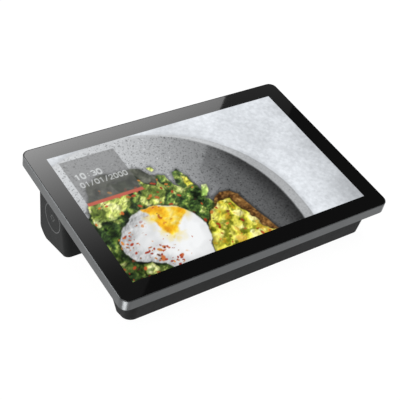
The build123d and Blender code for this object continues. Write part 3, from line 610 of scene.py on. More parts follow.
def linked(name: str, data: bpy.types.ID) -> Object:
    """A new object that holds this mesh, camera or light, linked to the scene.

    Args:
        name: of the object.
        data: what it holds.

    Returns:
        The object.
    """
    made = bpy.data.objects.new(name, data)
    bpy.context.scene.collection.objects.link(made)
    return made


def make_piece(name: str, points: Array, faces: Array, smooth: bool) -> Object:
    """Put points and quads into a new mesh object at the origin.

    Args:
        name: of the object.
        points: places in metres, three to a row.
        faces: point numbers, four to a row.
        smooth: whether the faces are shaded smooth.

    Returns:
        The object, linked to the scene.
    """
    mesh = bpy.data.meshes.new(name)
    mesh.vertices.add(len(points))
    mesh.vertices.foreach_set("co", points.astype(np.float32).ravel())
    mesh.loops.add(faces.size)
    mesh.loops.foreach_set("vertex_index", faces.astype(np.int32).ravel())
    mesh.polygons.add(len(faces))
    mesh.polygons.foreach_set("loop_start", np.arange(0, faces.size, 4, dtype=np.int32))
    mesh.update(calc_edges=True)
    mesh.polygons.foreach_set("use_smooth", np.full(len(faces), smooth))
    mesh.validate()
    if smooth:
        mesh.set_sharp_from_angle(angle=SHARP_ANGLE)
    return linked(name, mesh)


def closed_piece(name: str, points: Array, smooth: bool = True) -> Object:
    """A closed ring of a piece from a grid of points that joins up both ways, turned to face outwards.

    Args:
        name: of the piece.
        points: the grid, with the three coordinates on its last axis.
        smooth: whether the faces are shaded smooth.

    Returns:
        The piece.
    """
    rows, columns = points.shape[:2]
    faces, flat = grid_faces(rows, columns, True, True), points.reshape(-1, 3)
    if volume(flat - flat.mean(axis=0), faces) < 0:
        faces = faces[:, ::-1]
    return make_piece(name, flat, faces, smooth)


def bar(name: str, middle: Array, axes: Array, width: float, height: float, depth: float,
        radius: float) -> Object:
    """Closed bar with round long edges and slightly broken ends: four loops along its depth, then caps.

    Args:
        name: of the piece.
        middle: of the bar.
        axes: three unit rows, across, up and along its depth.
        width, height, depth: over all.
        radius: of the long edges. The ends are broken by half of it.

    Returns:
        The piece.
    """
    loops = []
    for end, inset in ((-1, 1), (-1, 0), (1, 0), (1, 1)):
        cut = inset * radius / 2
        u, v = rounded_loop(width - 2 * cut, height - 2 * cut, radius - cut, 4)
        w = np.full(u.shape, end * (depth / 2 - radius / 2 + cut))
        loops.append(middle + np.stack([u, v, w], axis=-1) @ axes)
    points = np.array(loops)
    faces = grid_faces(*points.shape[:2], False, True)
    if volume(points.reshape(-1, 3) - middle, faces) < 0:
        faces = faces[:, ::-1]
    piece = make_piece(name, points.reshape(-1, 3), faces, True)
    fill_ends(piece)
    return piece


def fill_ends(piece: Object) -> None:
    """Close a piece's open ends with flat faces.

    Args:
        piece: whose mesh is changed.
    """
    mesh = bmesh.new()
    mesh.from_mesh(piece.data)
    bmesh.ops.holes_fill(mesh, edges=mesh.edges, sides=0)
    mesh.to_mesh(piece.data)
    mesh.free()


def rounded_loop(width: float, height: float, radius: float, steps: int) -> tuple[Array, Array]:
    """Rectangle with round corners: four quarter circles, joined by straight runs.

    Args:
        width, height: over all.
        radius: of the corners.
        steps: points on each corner.

    Returns:
        Its points' two coordinates, counter-clockwise.
    """
    turn = np.concatenate([np.linspace(k, k + 1, steps) for k in range(4)]) * np.pi / 2
    middle = np.repeat(np.arange(4), steps)
    right, top = np.isin(middle, (0, 3)), np.isin(middle, (0, 1))
    u = np.where(right, 1, -1) * (width / 2 - radius) + radius * np.cos(turn)
    v = np.where(top, 1, -1) * (height / 2 - radius) + radius * np.sin(turn)
    return u, v


def middle_of(corners: tuple) -> Array:
    """Middle of a box, given as its low and its high corner."""
    return np.mean([np.array(corner) for corner in corners], axis=0)


@dataclass(frozen=True)
class ScreenPlane:
    """The sloping plane of the glass: u to the right, v up the slope, depth below its face."""

    tilt: float = math.radians(17.4)
    glass_thickness: float = 1.8 * MM

    def axes(self) -> tuple[Array, Array]:
        """Direction up the slope, and the normal of the glass."""
        cos, sin = math.cos(self.tilt), math.sin(self.tilt)
        return np.array([0, cos, sin]), np.array([0, -sin, cos])

    def middle(self) -> Array:
        """Middle of the glass's face: the middle of its box, raised by half its thickness."""
        return middle_of(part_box("cover_glass")) + self.axes()[1] * self.glass_thickness / 2

    def place(self, u: Array, v: Array, depth: Array | float) -> Array:
        """Points in the frame at u and v on the glass and at a depth below its face.

        Args:
            u, v: places on the glass, from its middle.
            depth: below the face.

        Returns:
            The points, with their three coordinates on one more axis.
        """
        up, normal = self.axes()
        u, v, depth = np.broadcast_arrays(u, v, depth)
        across = np.array([1.0, 0, 0])
        return self.middle() + u[..., None] * across + v[..., None] * up - depth[..., None] * normal


# ---- finishes -------------------------------------------------------------------------------


def add_node(material: Material, kind: str, settings: dict | None = None, **inputs: object) -> Node:
    """Add a node to a material.

    Args:
        material: that it goes into.
        kind: Blender's name of the node's type.
        settings: attributes of the node, by name.
        inputs: its sockets, by name with _ for a space or by number as i0, i1 and so on. A value is set,
            and an output socket is linked.

    Returns:
        The node.
    """
    tree = material.node_tree
    made = tree.nodes.new(kind)
    for name, value in (settings or {}).items():
        setattr(made, name, value)
    for name, value in inputs.items():
        number = name[1:]
        socket = made.inputs[int(number) if number.isdigit() else name.replace("_", " ")]
        if isinstance(value, Output):
            tree.links.new(value, socket)
        else:
            socket.default_value = value
    return made


def paint(code: str) -> tuple[float, float, float, float]:
    """Linear colour with alpha of an sRGB hex code, for a colour socket."""
    return (*linear(code), 1.0)


@dataclass(frozen=True)
class Finish:
    """A solid finish: two close tones in soft clouds, fine grain in the surface, uneven gloss.

    Sizes are in millimetres, as measured on the real surface.
    """

    name: str
    tone: str
    second_tone: str
    roughness: float = 0.5
    roughness_spread: float = 0.05
    metallic: float = 0.0
    ior: float = 1.5
    specular: float = 0.5
    cloud_mm: float = 30.0
    grain_mm: float = 0.5
    grain_depth_mm: float = 0.01
    stretch: tuple[float, float, float] = (1.0, 1.0, 1.0)

    def build(self) -> Material:
        """Make the material once, and give it back after that.

        Returns:
            The material.
        """
        known = bpy.data.materials.get(self.name)
        if known:
            return known
        material = bpy.data.materials.new(self.name)
        material.use_nodes = True
        material.node_tree.nodes.clear()
        place = add_node(material, "ShaderNodeTexCoord").outputs["Object"]
        place = add_node(material, "ShaderNodeMapping", Vector=place, Scale=self.stretch).outputs[0]
        output = add_node(material, "ShaderNodeOutputMaterial")
        shader = self.shade(material, place)
        material.node_tree.links.new(shader.outputs[0], output.inputs["Surface"])
        material.diffuse_color = paint(self.tone)
        return material

    def colour(self, material: Material, place: Output) -> Output:
        """Colour of the surface: the two tones in soft clouds.

        Args:
            material: that the nodes go into.
            place: Object coordinates.

        Returns:
            The colour.
        """
        cloud = add_node(material, "ShaderNodeTexNoise", Vector=place, Scale=1 / (self.cloud_mm * MM),
                         Detail=4.0)
        mix = add_node(material, "ShaderNodeMix", {"data_type": "RGBA"}, Factor=cloud.outputs[0],
                       i6=paint(self.tone), i7=paint(self.second_tone))
        return mix.outputs[2]

    def relief(self, material: Material, place: Output) -> Output:
        """Normal of the surface, with its grain.

        Args:
            material: that the nodes go into.
            place: Object coordinates.

        Returns:
            The normal.
        """
        grain = add_node(material, "ShaderNodeTexNoise", Vector=place, Scale=1 / (self.grain_mm * MM),
                         Detail=2.0)
        return add_node(material, "ShaderNodeBump", Height=grain.outputs[0], Strength=1.0,
                        Distance=self.grain_depth_mm * MM).outputs[0]

    def shade(self, material: Material, place: Output) -> Node:
        """Shader of the surface: its colour, its grain, and a gloss that wanders in smaller clouds.

        Args:
            material: that the nodes go into.
            place: Object coordinates.

        Returns:
            The shader.
        """
        low, high = (self.roughness + sign * self.roughness_spread for sign in (-1, 1))
        cloud = add_node(material, "ShaderNodeTexNoise", Vector=place, Detail=2.0,
                         Scale=1 / (self.cloud_mm / 3 * MM))
        gloss = add_node(material, "ShaderNodeMapRange", Value=cloud.outputs[0], i3=low, i4=high)
        return add_node(material, "ShaderNodeBsdfPrincipled", Base_Color=self.colour(material, place),
                        Metallic=self.metallic, Roughness=gloss.outputs[0], IOR=self.ior,
                        Specular_IOR_Level=self.specular, Normal=self.relief(material, place))


@dataclass(frozen=True)
class LitPicture(Finish):
    """A lit picture behind polished glass: its light comes from the colours held by the mesh."""

    attribute: str = "picture"
    cell_spread: float = 0.04  # how much brighter or darker a cell is

    def shade(self, material: Material, place: Output) -> Node:
        """Shader of the surface: the picture's own light under a faint gloss.

        Args:
            material: that the nodes go into.
            place: Object coordinates.

        Returns:
            The shader.
        """
        held = add_node(material, "ShaderNodeAttribute", {"attribute_name": self.attribute}).outputs[0]
        cell = add_node(material, "ShaderNodeTexNoise", Vector=place, Scale=1 / (self.grain_mm * MM),
                        Detail=0.0)
        grain = add_node(material, "ShaderNodeMapRange", Value=cell.outputs[0], i1=0.2, i2=0.8,
                         i3=1 - self.cell_spread, i4=1 + self.cell_spread)
        lit = add_node(material, "ShaderNodeMix", {"data_type": "RGBA", "blend_type": "MULTIPLY"},
                       Factor=1.0, i6=held, i7=grain.outputs[0])
        return add_node(material, "ShaderNodeBsdfPrincipled", Base_Color=paint(self.tone),
                        Roughness=self.roughness, IOR=self.ior, Specular_IOR_Level=self.specular,
                        Emission_Color=lit.outputs[2], Emission_Strength=1.0)


@dataclass(frozen=True)
class CircuitBoard(Finish):
    """Fibreglass board under green solder mask: copper tracks show as lighter lines."""

    track_mm: float = 1.6

    def colour(self, material: Material, place: Output) -> Output:
        """Colour of the surface: the mask, lighter along the edges of square cells.

        Args:
            material: that the nodes go into.
            place: Object coordinates.

        Returns:
            The colour.
        """
        settings = {"distance": "CHEBYCHEV", "feature": "DISTANCE_TO_EDGE"}
        cells = add_node(material, "ShaderNodeTexVoronoi", settings, Vector=place,
                         Scale=1 / (self.track_mm * MM), Randomness=0.6)
        line = add_node(material, "ShaderNodeMapRange", Value=cells.outputs[0], i1=0.06, i2=0.12)
        mix = add_node(material, "ShaderNodeMix", {"data_type": "RGBA"}, Factor=line.outputs[0],
                       i6=paint(self.second_tone), i7=paint(self.tone))
        return mix.outputs[2]


class Stock(Enum):
    """The finishes that the display is made of, each named for its real material."""

    # ABS moulded in a spark-eroded tool: even dark grey, a fine dry grain, a dull broad sheen
    STAND = Finish("moulded_abs_dark_grey", "#303131", "#363737", 0.62, 0.04, ior=1.53, specular=0.12,
                   cloud_mm=40, grain_mm=0.45, grain_depth_mm=0.03)
    # the same plastic in the housing and base cover, a little darker and flatter
    HOUSING = Finish("moulded_abs_black", "#232424", "#2a2b2b", 0.6, 0.04, ior=1.53, specular=0.35,
                     cloud_mm=35, grain_mm=0.5, grain_depth_mm=0.03)
    # polished ABS button cap: catches a sharper light than the leg round it
    BUTTON = Finish("moulded_abs_button", "#4a4b4b", "#525353", 0.35, 0.04, ior=1.53, cloud_mm=5,
                    grain_mm=0.3, grain_depth_mm=0.005)
    # bead-blasted anodised aluminium: soft metal glow with a fine sparkle
    RIM = Finish("anodised_aluminium_grey", "#545657", "#5c5e5f", 0.34, 0.05, metallic=1.0, cloud_mm=18,
                 grain_mm=0.3, grain_depth_mm=0.012)
    # toughened glass over black screen print: deep black, mirror-like, the faintest haze of handling
    BORDER = Finish("glass_over_black_print", "#050505", "#070707", 0.03, 0.012, ior=1.52, cloud_mm=45,
                    grain_mm=60, grain_depth_mm=0.004)
    # liquid crystal panel behind the glass: shines by itself, with a fine grain of cells and hardly a gloss
    PICTURE = LitPicture("lit_picture_under_glass", "#020202", "#020202", 0.04, 0.0, ior=1.52,
                         specular=0.08, grain_mm=0.35)
    # screen-printed grey ink: a flat tone with slightly uneven cover
    INK = Finish("screen_print_grey", "#6c6d6d", "#767777", 0.6, 0.05, cloud_mm=3, grain_mm=0.2,
                 grain_depth_mm=0.004)
    # laminated polyester film of the touch sensor: pale grey with a smooth even sheen
    FILM = Finish("polyester_touch_film", "#aeb4b6", "#b8bec0", 0.2, 0.05, ior=1.6, cloud_mm=25,
                  grain_mm=2, grain_depth_mm=0.003)
    # rolled and zinc-plated steel sheet: faint long streaks from the rolls
    TRAY = Finish("zinc_plated_steel", "#a7abad", "#b9bcbd", 0.34, 0.08, metallic=1.0, cloud_mm=22,
                  grain_mm=0.6, grain_depth_mm=0.006, stretch=(0.15, 1.0, 1.0))
    # glass-fibre board under solder mask: dark green, lighter in lines where the copper runs below
    BOARD = CircuitBoard("fibreglass_board_green", "#0f3b22", "#2b6b3d", 0.42, 0.06, ior=1.55,
                         cloud_mm=8, grain_mm=0.8, grain_depth_mm=0.02)
    # epoxy moulding compound of chips: matt charcoal with a sandy skin
    CHIP = Finish("epoxy_chip_package", "#2b2b2c", "#343435", 0.7, 0.05, cloud_mm=6, grain_mm=0.2,
                  grain_depth_mm=0.008)
    # black anodised extrusion: dark metal with lines along the fins
    SINK = Finish("black_anodised_extrusion", "#2e2f31", "#3a3b3d", 0.42, 0.05, metallic=1.0,
                  cloud_mm=8, grain_mm=0.3, grain_depth_mm=0.01, stretch=(1.0, 0.12, 0.12))
    # tinplate of the shield can and socket shells: bright and clean, with a sharp sheen
    TIN = Finish("tinplate", "#c3c5c4", "#d2d3d1", 0.24, 0.07, metallic=1.0, cloud_mm=9, grain_mm=0.8,
                 grain_depth_mm=0.004)
    # gold flash over nickel on the contacts: warm, bright and smooth
    GOLD = Finish("gold_plated_contacts", "#d9b25a", "#e3c070", 0.22, 0.04, metallic=1.0, cloud_mm=2,
                  grain_mm=0.3, grain_depth_mm=0.002)
    # machine screws: turned steel, black zinc, a tight sheen
    SCREW = Finish("black_zinc_steel", "#66676a", "#77787a", 0.33, 0.07, metallic=1.0, cloud_mm=2,
                   grain_mm=0.25, grain_depth_mm=0.006)
    # glass-filled nylon of the sockets: near black, a little waxy
    SOCKET = Finish("glass_filled_nylon", "#1d1e1f", "#262728", 0.48, 0.06, ior=1.53, cloud_mm=5,
                    grain_mm=0.3, grain_depth_mm=0.01)
    # moulded polystyrene of the loudspeaker boxes: even black, a little glossier than the housing
    SPEAKER = Finish("polystyrene_black", "#1c1c1d", "#242425", 0.45, 0.06, ior=1.59, cloud_mm=12,
                     grain_mm=0.5, grain_depth_mm=0.015)
    # closed-cell foam tape and gaskets: open pores, no shine
    FOAM = Finish("closed_cell_foam", "#1a1a1b", "#2a2a2b", 0.95, 0.03, specular=0.2, cloud_mm=4,
                  grain_mm=0.7, grain_depth_mm=0.12)
    # moulded silicone feet: dull and slightly dusty
    RUBBER = Finish("silicone_rubber", "#1e1e1e", "#2b2b2b", 0.8, 0.06, ior=1.41, cloud_mm=6,
                    grain_mm=0.4, grain_depth_mm=0.03)
    # polyimide ribbon: glossy amber film, with the copper lines showing paler along it
    RIBBON = CircuitBoard("polyimide_ribbon", "#8a4f12", "#c17a2a", 0.3, 0.05, ior=1.7, cloud_mm=6,
                          grain_mm=0.6, grain_depth_mm=0.004, stretch=(1.0, 0.08, 0.08), track_mm=0.9)
    # extruded vinyl jacket of the leads: smooth black with a soft line of light along it
    JACKET = Finish("vinyl_lead_jacket", "#1b1b1c", "#262627", 0.4, 0.05, ior=1.53, cloud_mm=5,
                    grain_mm=0.5, grain_depth_mm=0.01)


def dress(stock: Stock, *names: str) -> None:
    """Give CAD nodes a finish, in place of the plain one they came with.

    Args:
        stock: the finish.
        names: of the nodes.
    """
    for name in names:
        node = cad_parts[name]
        node.data.materials.clear()
        node.data.materials.append(stock.value.build())


def fit_out(piece: Object, stock: Stock) -> Object:
    """Give a new piece its finish and the body that it rides on.

    Args:
        piece: to finish.
        stock: the finish.

    Returns:
        The piece.
    """
    piece.data.materials.append(stock.value.build())
    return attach(piece, BODY)


# ---- sub-assemblies -------------------------------------------------------------------------


@dataclass
class Screen:
    """Cover glass with its black border, and the lit picture that shows through it."""

    plane: ScreenPlane
    width: float = 246.2 * MM
    height: float = 164.2 * MM
    corner: float = 6.3 * MM
    edge: float = 0.35 * MM  # radius of the ground edge
    edge_steps: int = 6
    edge_gap: float = 0.05 * MM  # flat kept beside the ground edge
    back_edge: float = 0.2 * MM  # bevel of the lower edge
    picture_width: float = 216.96 * MM
    picture_height: float = 135.6 * MM
    picture_shift: float = -0.5 * MM
    picture_thickness: float = 1.6 * MM
    window_corner: float = 0.3 * MM
    corner_steps: int = 10

    def loop(self, inset: float, depth: float) -> Array:
        """One loop round the glass.

        Args:
            inset: how far it is drawn in all round.
            depth: below the face of the glass.

        Returns:
            Its points.
        """
        width, height = self.width - 2 * inset, self.height - 2 * inset
        return self.plane.place(*rounded_loop(width, height, self.corner - inset, self.corner_steps), depth)

    def window(self, depth: float) -> Array:
        """One loop round the picture, at a depth below the face of the glass."""
        u, v = rounded_loop(self.picture_width, self.picture_height, self.window_corner, self.corner_steps)
        return self.plane.place(u, v + self.picture_shift, depth)

    def border(self) -> Object:
        """The printed border: loops from the window over the face, round the ground edge and back below.

        The edge is a quarter circle, so each loop there is drawn in by r - r sin a at a depth of
        r - r cos a, with a from 0 to 90 degrees.

        Returns:
            The piece.
        """
        turn = np.linspace(0, np.pi / 2, self.edge_steps)
        round_edge = [self.loop(self.edge * (1 - math.sin(a)), self.edge * (1 - math.cos(a))) for a in turn]
        back = self.plane.glass_thickness
        loops = [self.window(0.0), self.loop(self.edge + self.edge_gap, 0.0), *round_edge,
                 self.loop(0.0, back - self.back_edge), self.loop(self.back_edge, back), self.window(back)]
        piece = closed_piece("printed_cover_glass", np.array(loops))
        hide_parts("cover_glass")
        return fit_out(piece, Stock.BORDER)

    def picture(self) -> Object:
        """The picture: a thin slab whose face is a fine grid, flush with the glass.

        The grid's rows run on round the back, from its top edge to its lower edge, and join up. The
        two open ends are then filled.

        Returns:
            The piece.
        """
        image = ScreenPicture(self.picture_width / MM, self.picture_height / MM)
        x, y = image.grid()
        depth = np.zeros(len(x) + 2)
        depth[-2:] = self.picture_thickness
        round_x, round_y = np.vstack([x, x[:2]]), np.vstack([y, y[-1:], y[:1]])
        points = self.plane.place(round_x * MM, round_y * MM + self.picture_shift, depth[:, None])
        faces = grid_faces(*round_x.shape, True, False)
        piece = make_piece("lit_picture", points.reshape(-1, 3), faces, False)
        fill_ends(piece)
        colours = np.zeros((*round_x.shape, 4))
        colours[:-2, :, :3] = linear(image.paint(x, y))
        colours[..., 3] = 1
        held = piece.data.color_attributes.new("picture", "FLOAT_COLOR", "POINT")
        held.data.foreach_set("color", colours.astype(np.float32).ravel())
        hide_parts("lcd_cell")
        return fit_out(piece, Stock.PICTURE)

    def build(self) -> list[Object]:
        """Make the border and the picture, and dress what lies behind them.

        Returns:
            The new pieces.
        """
        dress(Stock.FILM, "touch_sensor")
        dress(Stock.FOAM, "glass_tape")
        dress(Stock.TRAY, "backlight_unit", "mid_plate")
        dress(Stock.SCREW, "plate_screws")
        return [self.border(), self.picture()]


@dataclass
class Slab:
    """Metal rim, rear housing and the electronics between them."""

    def build(self) -> list[Object]:
        """Dress the CAD parts of the slab.

        Returns:
            No new pieces.
        """
        dress(Stock.RIM, "rim_frame")
        dress(Stock.HOUSING, "rear_housing")
        dress(Stock.BOARD, "mainboard")
        dress(Stock.CHIP, "processor", "wireless_module")
        dress(Stock.SINK, "heat_sink")
        dress(Stock.TIN, "shield_can", "clock_cell")
        dress(Stock.RIBBON, "panel_ribbon", "io_ribbon", "wireless_antenna")
        dress(Stock.SOCKET, "ribbon_sockets")
        dress(Stock.SCREW, "housing_screws", "mainboard_screws", "leg_screws", "foot_screws")
        dress(Stock.JACKET, "antenna_lead")
        return []


@dataclass
class Leg:
    """Rear leg: shell, base cover, sockets, loudspeakers and the printed mark on its side."""

    mark_y: float = 54.2 * MM
    mark_z: float = 28.5 * MM
    mark_radius: float = 12.5 * MM
    mark_line: float = 0.9 * MM
    ring_corners: int = 96
    diamond_radius: float = 3.2 * MM
    ink: float = 0.04 * MM

    def printed_loop(self, name: str, radius: float, line: float, corners: int) -> Object:
        """A closed printed line round the mark's middle: a circle, or a polygon with few corners.

        Each corner stands at an even angle on the line's middle radius, and the line's section is a
        flat rectangle, line wide and as thick as the ink, sunk a quarter of that into the leg.

        Args:
            name: of the piece.
            radius: of the line's middle.
            line: its width.
            corners: how many.

        Returns:
            The piece.
        """
        turn = np.arange(corners) / corners * 2 * np.pi + np.pi / 2
        reach = radius + np.array([-0.5, 0.5, 0.5, -0.5])[:, None] * line
        rise = np.array([0.0, 0.0, 1.0, 1.0])[:, None] * self.ink
        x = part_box("leg_shell")[0].x - rise + self.ink / 4 + 0 * turn
        y, z = self.mark_y + reach * np.cos(turn), self.mark_z + reach * np.sin(turn)
        points = np.stack([x, y, z], axis=-1)
        return fit_out(closed_piece(name, points, False), Stock.INK)

    def build(self) -> list[Object]:
        """Make the printed mark, and dress the CAD parts of the leg.

        Returns:
            The new pieces.
        """
        dress(Stock.STAND, "leg_shell")
        dress(Stock.HOUSING, "leg_base_cover")
        dress(Stock.SPEAKER, "speaker_left", "speaker_right")
        dress(Stock.FOAM, "speaker_gaskets")
        dress(Stock.BOARD, "io_board", "switch_board")
        dress(Stock.SOCKET, "dc_power_socket", "ethernet_socket", "switch_housing")
        dress(Stock.TIN, "usb_socket_left", "usb_socket_right")
        dress(Stock.SCREW, "cover_screws", "io_board_screws", "switch_screws")
        dress(Stock.RUBBER, "leg_pad_left", "leg_pad_right")
        dress(Stock.JACKET, "speaker_lead_left", "speaker_lead_right", "button_lead")
        return [self.printed_loop("printed_ring", self.mark_radius, self.mark_line, self.ring_corners),
                self.printed_loop("printed_diamond", self.diamond_radius, self.mark_line, 4)]


@dataclass
class Socket:
    """Inside of the sockets in the leg's rear face: tongues of nylon and contacts of gold.

    The sockets stand square to the rear face, so the middle of each box is the middle of its body.
    """

    lean: float = math.radians(9.5)
    depth: float = 14.0 * MM
    network_depth: float = 18.0 * MM
    tongue: tuple[float, float, float] = (11.2 * MM, 2.0 * MM, 9.25 * MM)  # across, up and along
    tongue_rise: float = 1.2 * MM
    tongue_middle: float = 5.35 * MM  # below the face of the socket
    contact: tuple[float, float, float] = (1.0 * MM, 0.12 * MM, 6.5 * MM)
    contacts: int = 4
    contact_pitch: float = 2.4 * MM
    wire: tuple[float, float, float] = (0.45 * MM, 0.3 * MM, 9.0 * MM)
    wires: int = 8
    wire_pitch: float = 1.02 * MM
    wire_rise: float = 2.2 * MM
    wire_middle: float = 6.5 * MM
    radius: float = 0.05 * MM

    def axes(self) -> Array:
        """Unit rows to the left, up the rear face and outwards."""
        cos, sin = math.cos(self.lean), math.sin(self.lean)
        return np.array([[-1, 0, 0], [0, -sin, cos], [0, cos, sin]])

    def inside(self, node: str, body: float, across: float, up: float, below: float) -> Array:
        """Place in a socket as deep as body: across and up from its middle, and this far below its face."""
        return middle_of(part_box(node)) + np.array([across, up, body / 2 - below]) @ self.axes()

    def build(self) -> list[Object]:
        """Make a tongue and four contacts in each USB socket, and eight wires in the network socket.

        Returns:
            The new pieces.
        """
        made = []
        for side in ("left", "right"):
            node = f"usb_socket_{side}"
            middle = self.inside(node, self.depth, 0, self.tongue_rise, self.tongue_middle)
            tongue = bar(f"usb_tongue_{side}", middle, self.axes(), *self.tongue, 2 * self.radius)
            made.append(fit_out(tongue, Stock.SOCKET))
            under = self.tongue_rise - self.tongue[1] / 2
            for k in range(self.contacts):
                across = (k - (self.contacts - 1) / 2) * self.contact_pitch
                middle = self.inside(node, self.depth, across, under, self.tongue_middle)
                strip = bar(f"usb_contact_{side}_{k + 1}", middle, self.axes(), *self.contact, self.radius)
                made.append(fit_out(strip, Stock.GOLD))
        for k in range(self.wires):
            across = (k - (self.wires - 1) / 2) * self.wire_pitch
            middle = self.inside("ethernet_socket", self.network_depth, across, self.wire_rise,
                                 self.wire_middle)
            wire = bar(f"network_contact_{k + 1}", middle, self.axes(), *self.wire, self.radius)
            made.append(fit_out(wire, Stock.GOLD))
        return made


@dataclass
class Button:
    """Power button on the right side of the leg, and the plunger of its switch."""

    def build(self) -> list[Object]:
        """Dress the CAD parts that move with the button.

        Returns:
            No new pieces.
        """
        dress(Stock.BUTTON, "power_button")
        dress(Stock.SOCKET, "switch_plunger")
        return []


@dataclass
class Foot:
    """Front foot and its rubber pads."""

    def build(self) -> list[Object]:
        """Dress the CAD parts of the foot.

        Returns:
            No new pieces.
        """
        dress(Stock.STAND, "front_foot")
        dress(Stock.RUBBER, "foot_pad_left", "foot_pad_right")
        return []


# ---- camera, floor and light ----------------------------------------------------------------


@dataclass(frozen=True)
class Lamp:
    """Square soft light that looks at the middle of the display."""

    name: str
    place: tuple[float, float, float]
    size: float
    watts: float
    glossy: bool = False  # whether it is seen in the gloss
    matt: bool = True  # whether it lights matt faces

    def build(self, aim_height: float) -> None:
        """Make the light.

        Args:
            aim_height: of the point on the Z axis that it looks at.
        """
        data = bpy.data.lights.new(self.name, "AREA")
        data.shape, data.size, data.energy = "SQUARE", self.size, self.watts
        made = linked(self.name, data)
        made.location = self.place
        x, y, z = np.array([0, 0, aim_height]) - self.place
        made.rotation_euler = (math.atan2(math.hypot(x, y), -z), 0.0, math.atan2(y, x) - math.pi / 2)
        made.visible_glossy, made.visible_diffuse = self.glossy, self.matt
        made.visible_camera = False


@dataclass(frozen=True)
class Softbox:
    """Light seen in the glass between two lines across it, each its u at the near and at the far edge.

    What the glass shows of it is base + rise a^2, with a from 0 at the near edge to 1 at the far edge,
    less the share fade of that at the right end of the main box.
    """

    name: str
    left: Point
    right: Point
    base: float
    rise: float
    fade: float = 0.0


LAMPS = (Lamp("key_light", (-1.4, -1.1, 2.0), 1.6, 30.0, glossy=True),
         Lamp("top_light", (0.3, 0.1, 2.4), 2.4, 32.0),
         Lamp("side_light", (-2.0, 0.5, 1.1), 1.2, 14.0),
         Lamp("back_light", (0.9, 2.1, 1.2), 1.6, 40.0),
         Lamp("edge_light", (-1.55, 0.9, 1.35), 1.0, 14.0, glossy=True, matt=False))
SOFTBOXES = (Softbox("softbox_main", (-0.30, -0.26), (-0.101, 0.064), 0.008, 0.25, 0.47),
             Softbox("softbox_faint", (-0.101, 0.064), (-0.032, 0.155), 0.003, 0.011))


def light_up(piece: Object, name: str, strength: float | str) -> Object:
    """Make a stage piece glow, seen only in gloss.

    Args:
        piece: whose mesh glows.
        name: of its material.
        strength: of the glow, or the name of the mesh's attribute that holds it.

    Returns:
        The piece.
    """
    material = bpy.data.materials.new(name)
    material.use_nodes = True
    material.node_tree.nodes.clear()
    if isinstance(strength, str):
        strength = add_node(material, "ShaderNodeAttribute", {"attribute_name": strength}).outputs["Fac"]
    shader = add_node(material, "ShaderNodeEmission", Strength=strength)
    add_node(material, "ShaderNodeOutputMaterial", Surface=shader.outputs[0])
    piece.data.materials.append(material)
    piece.visible_camera = piece.visible_diffuse = piece.visible_shadow = False
    return piece


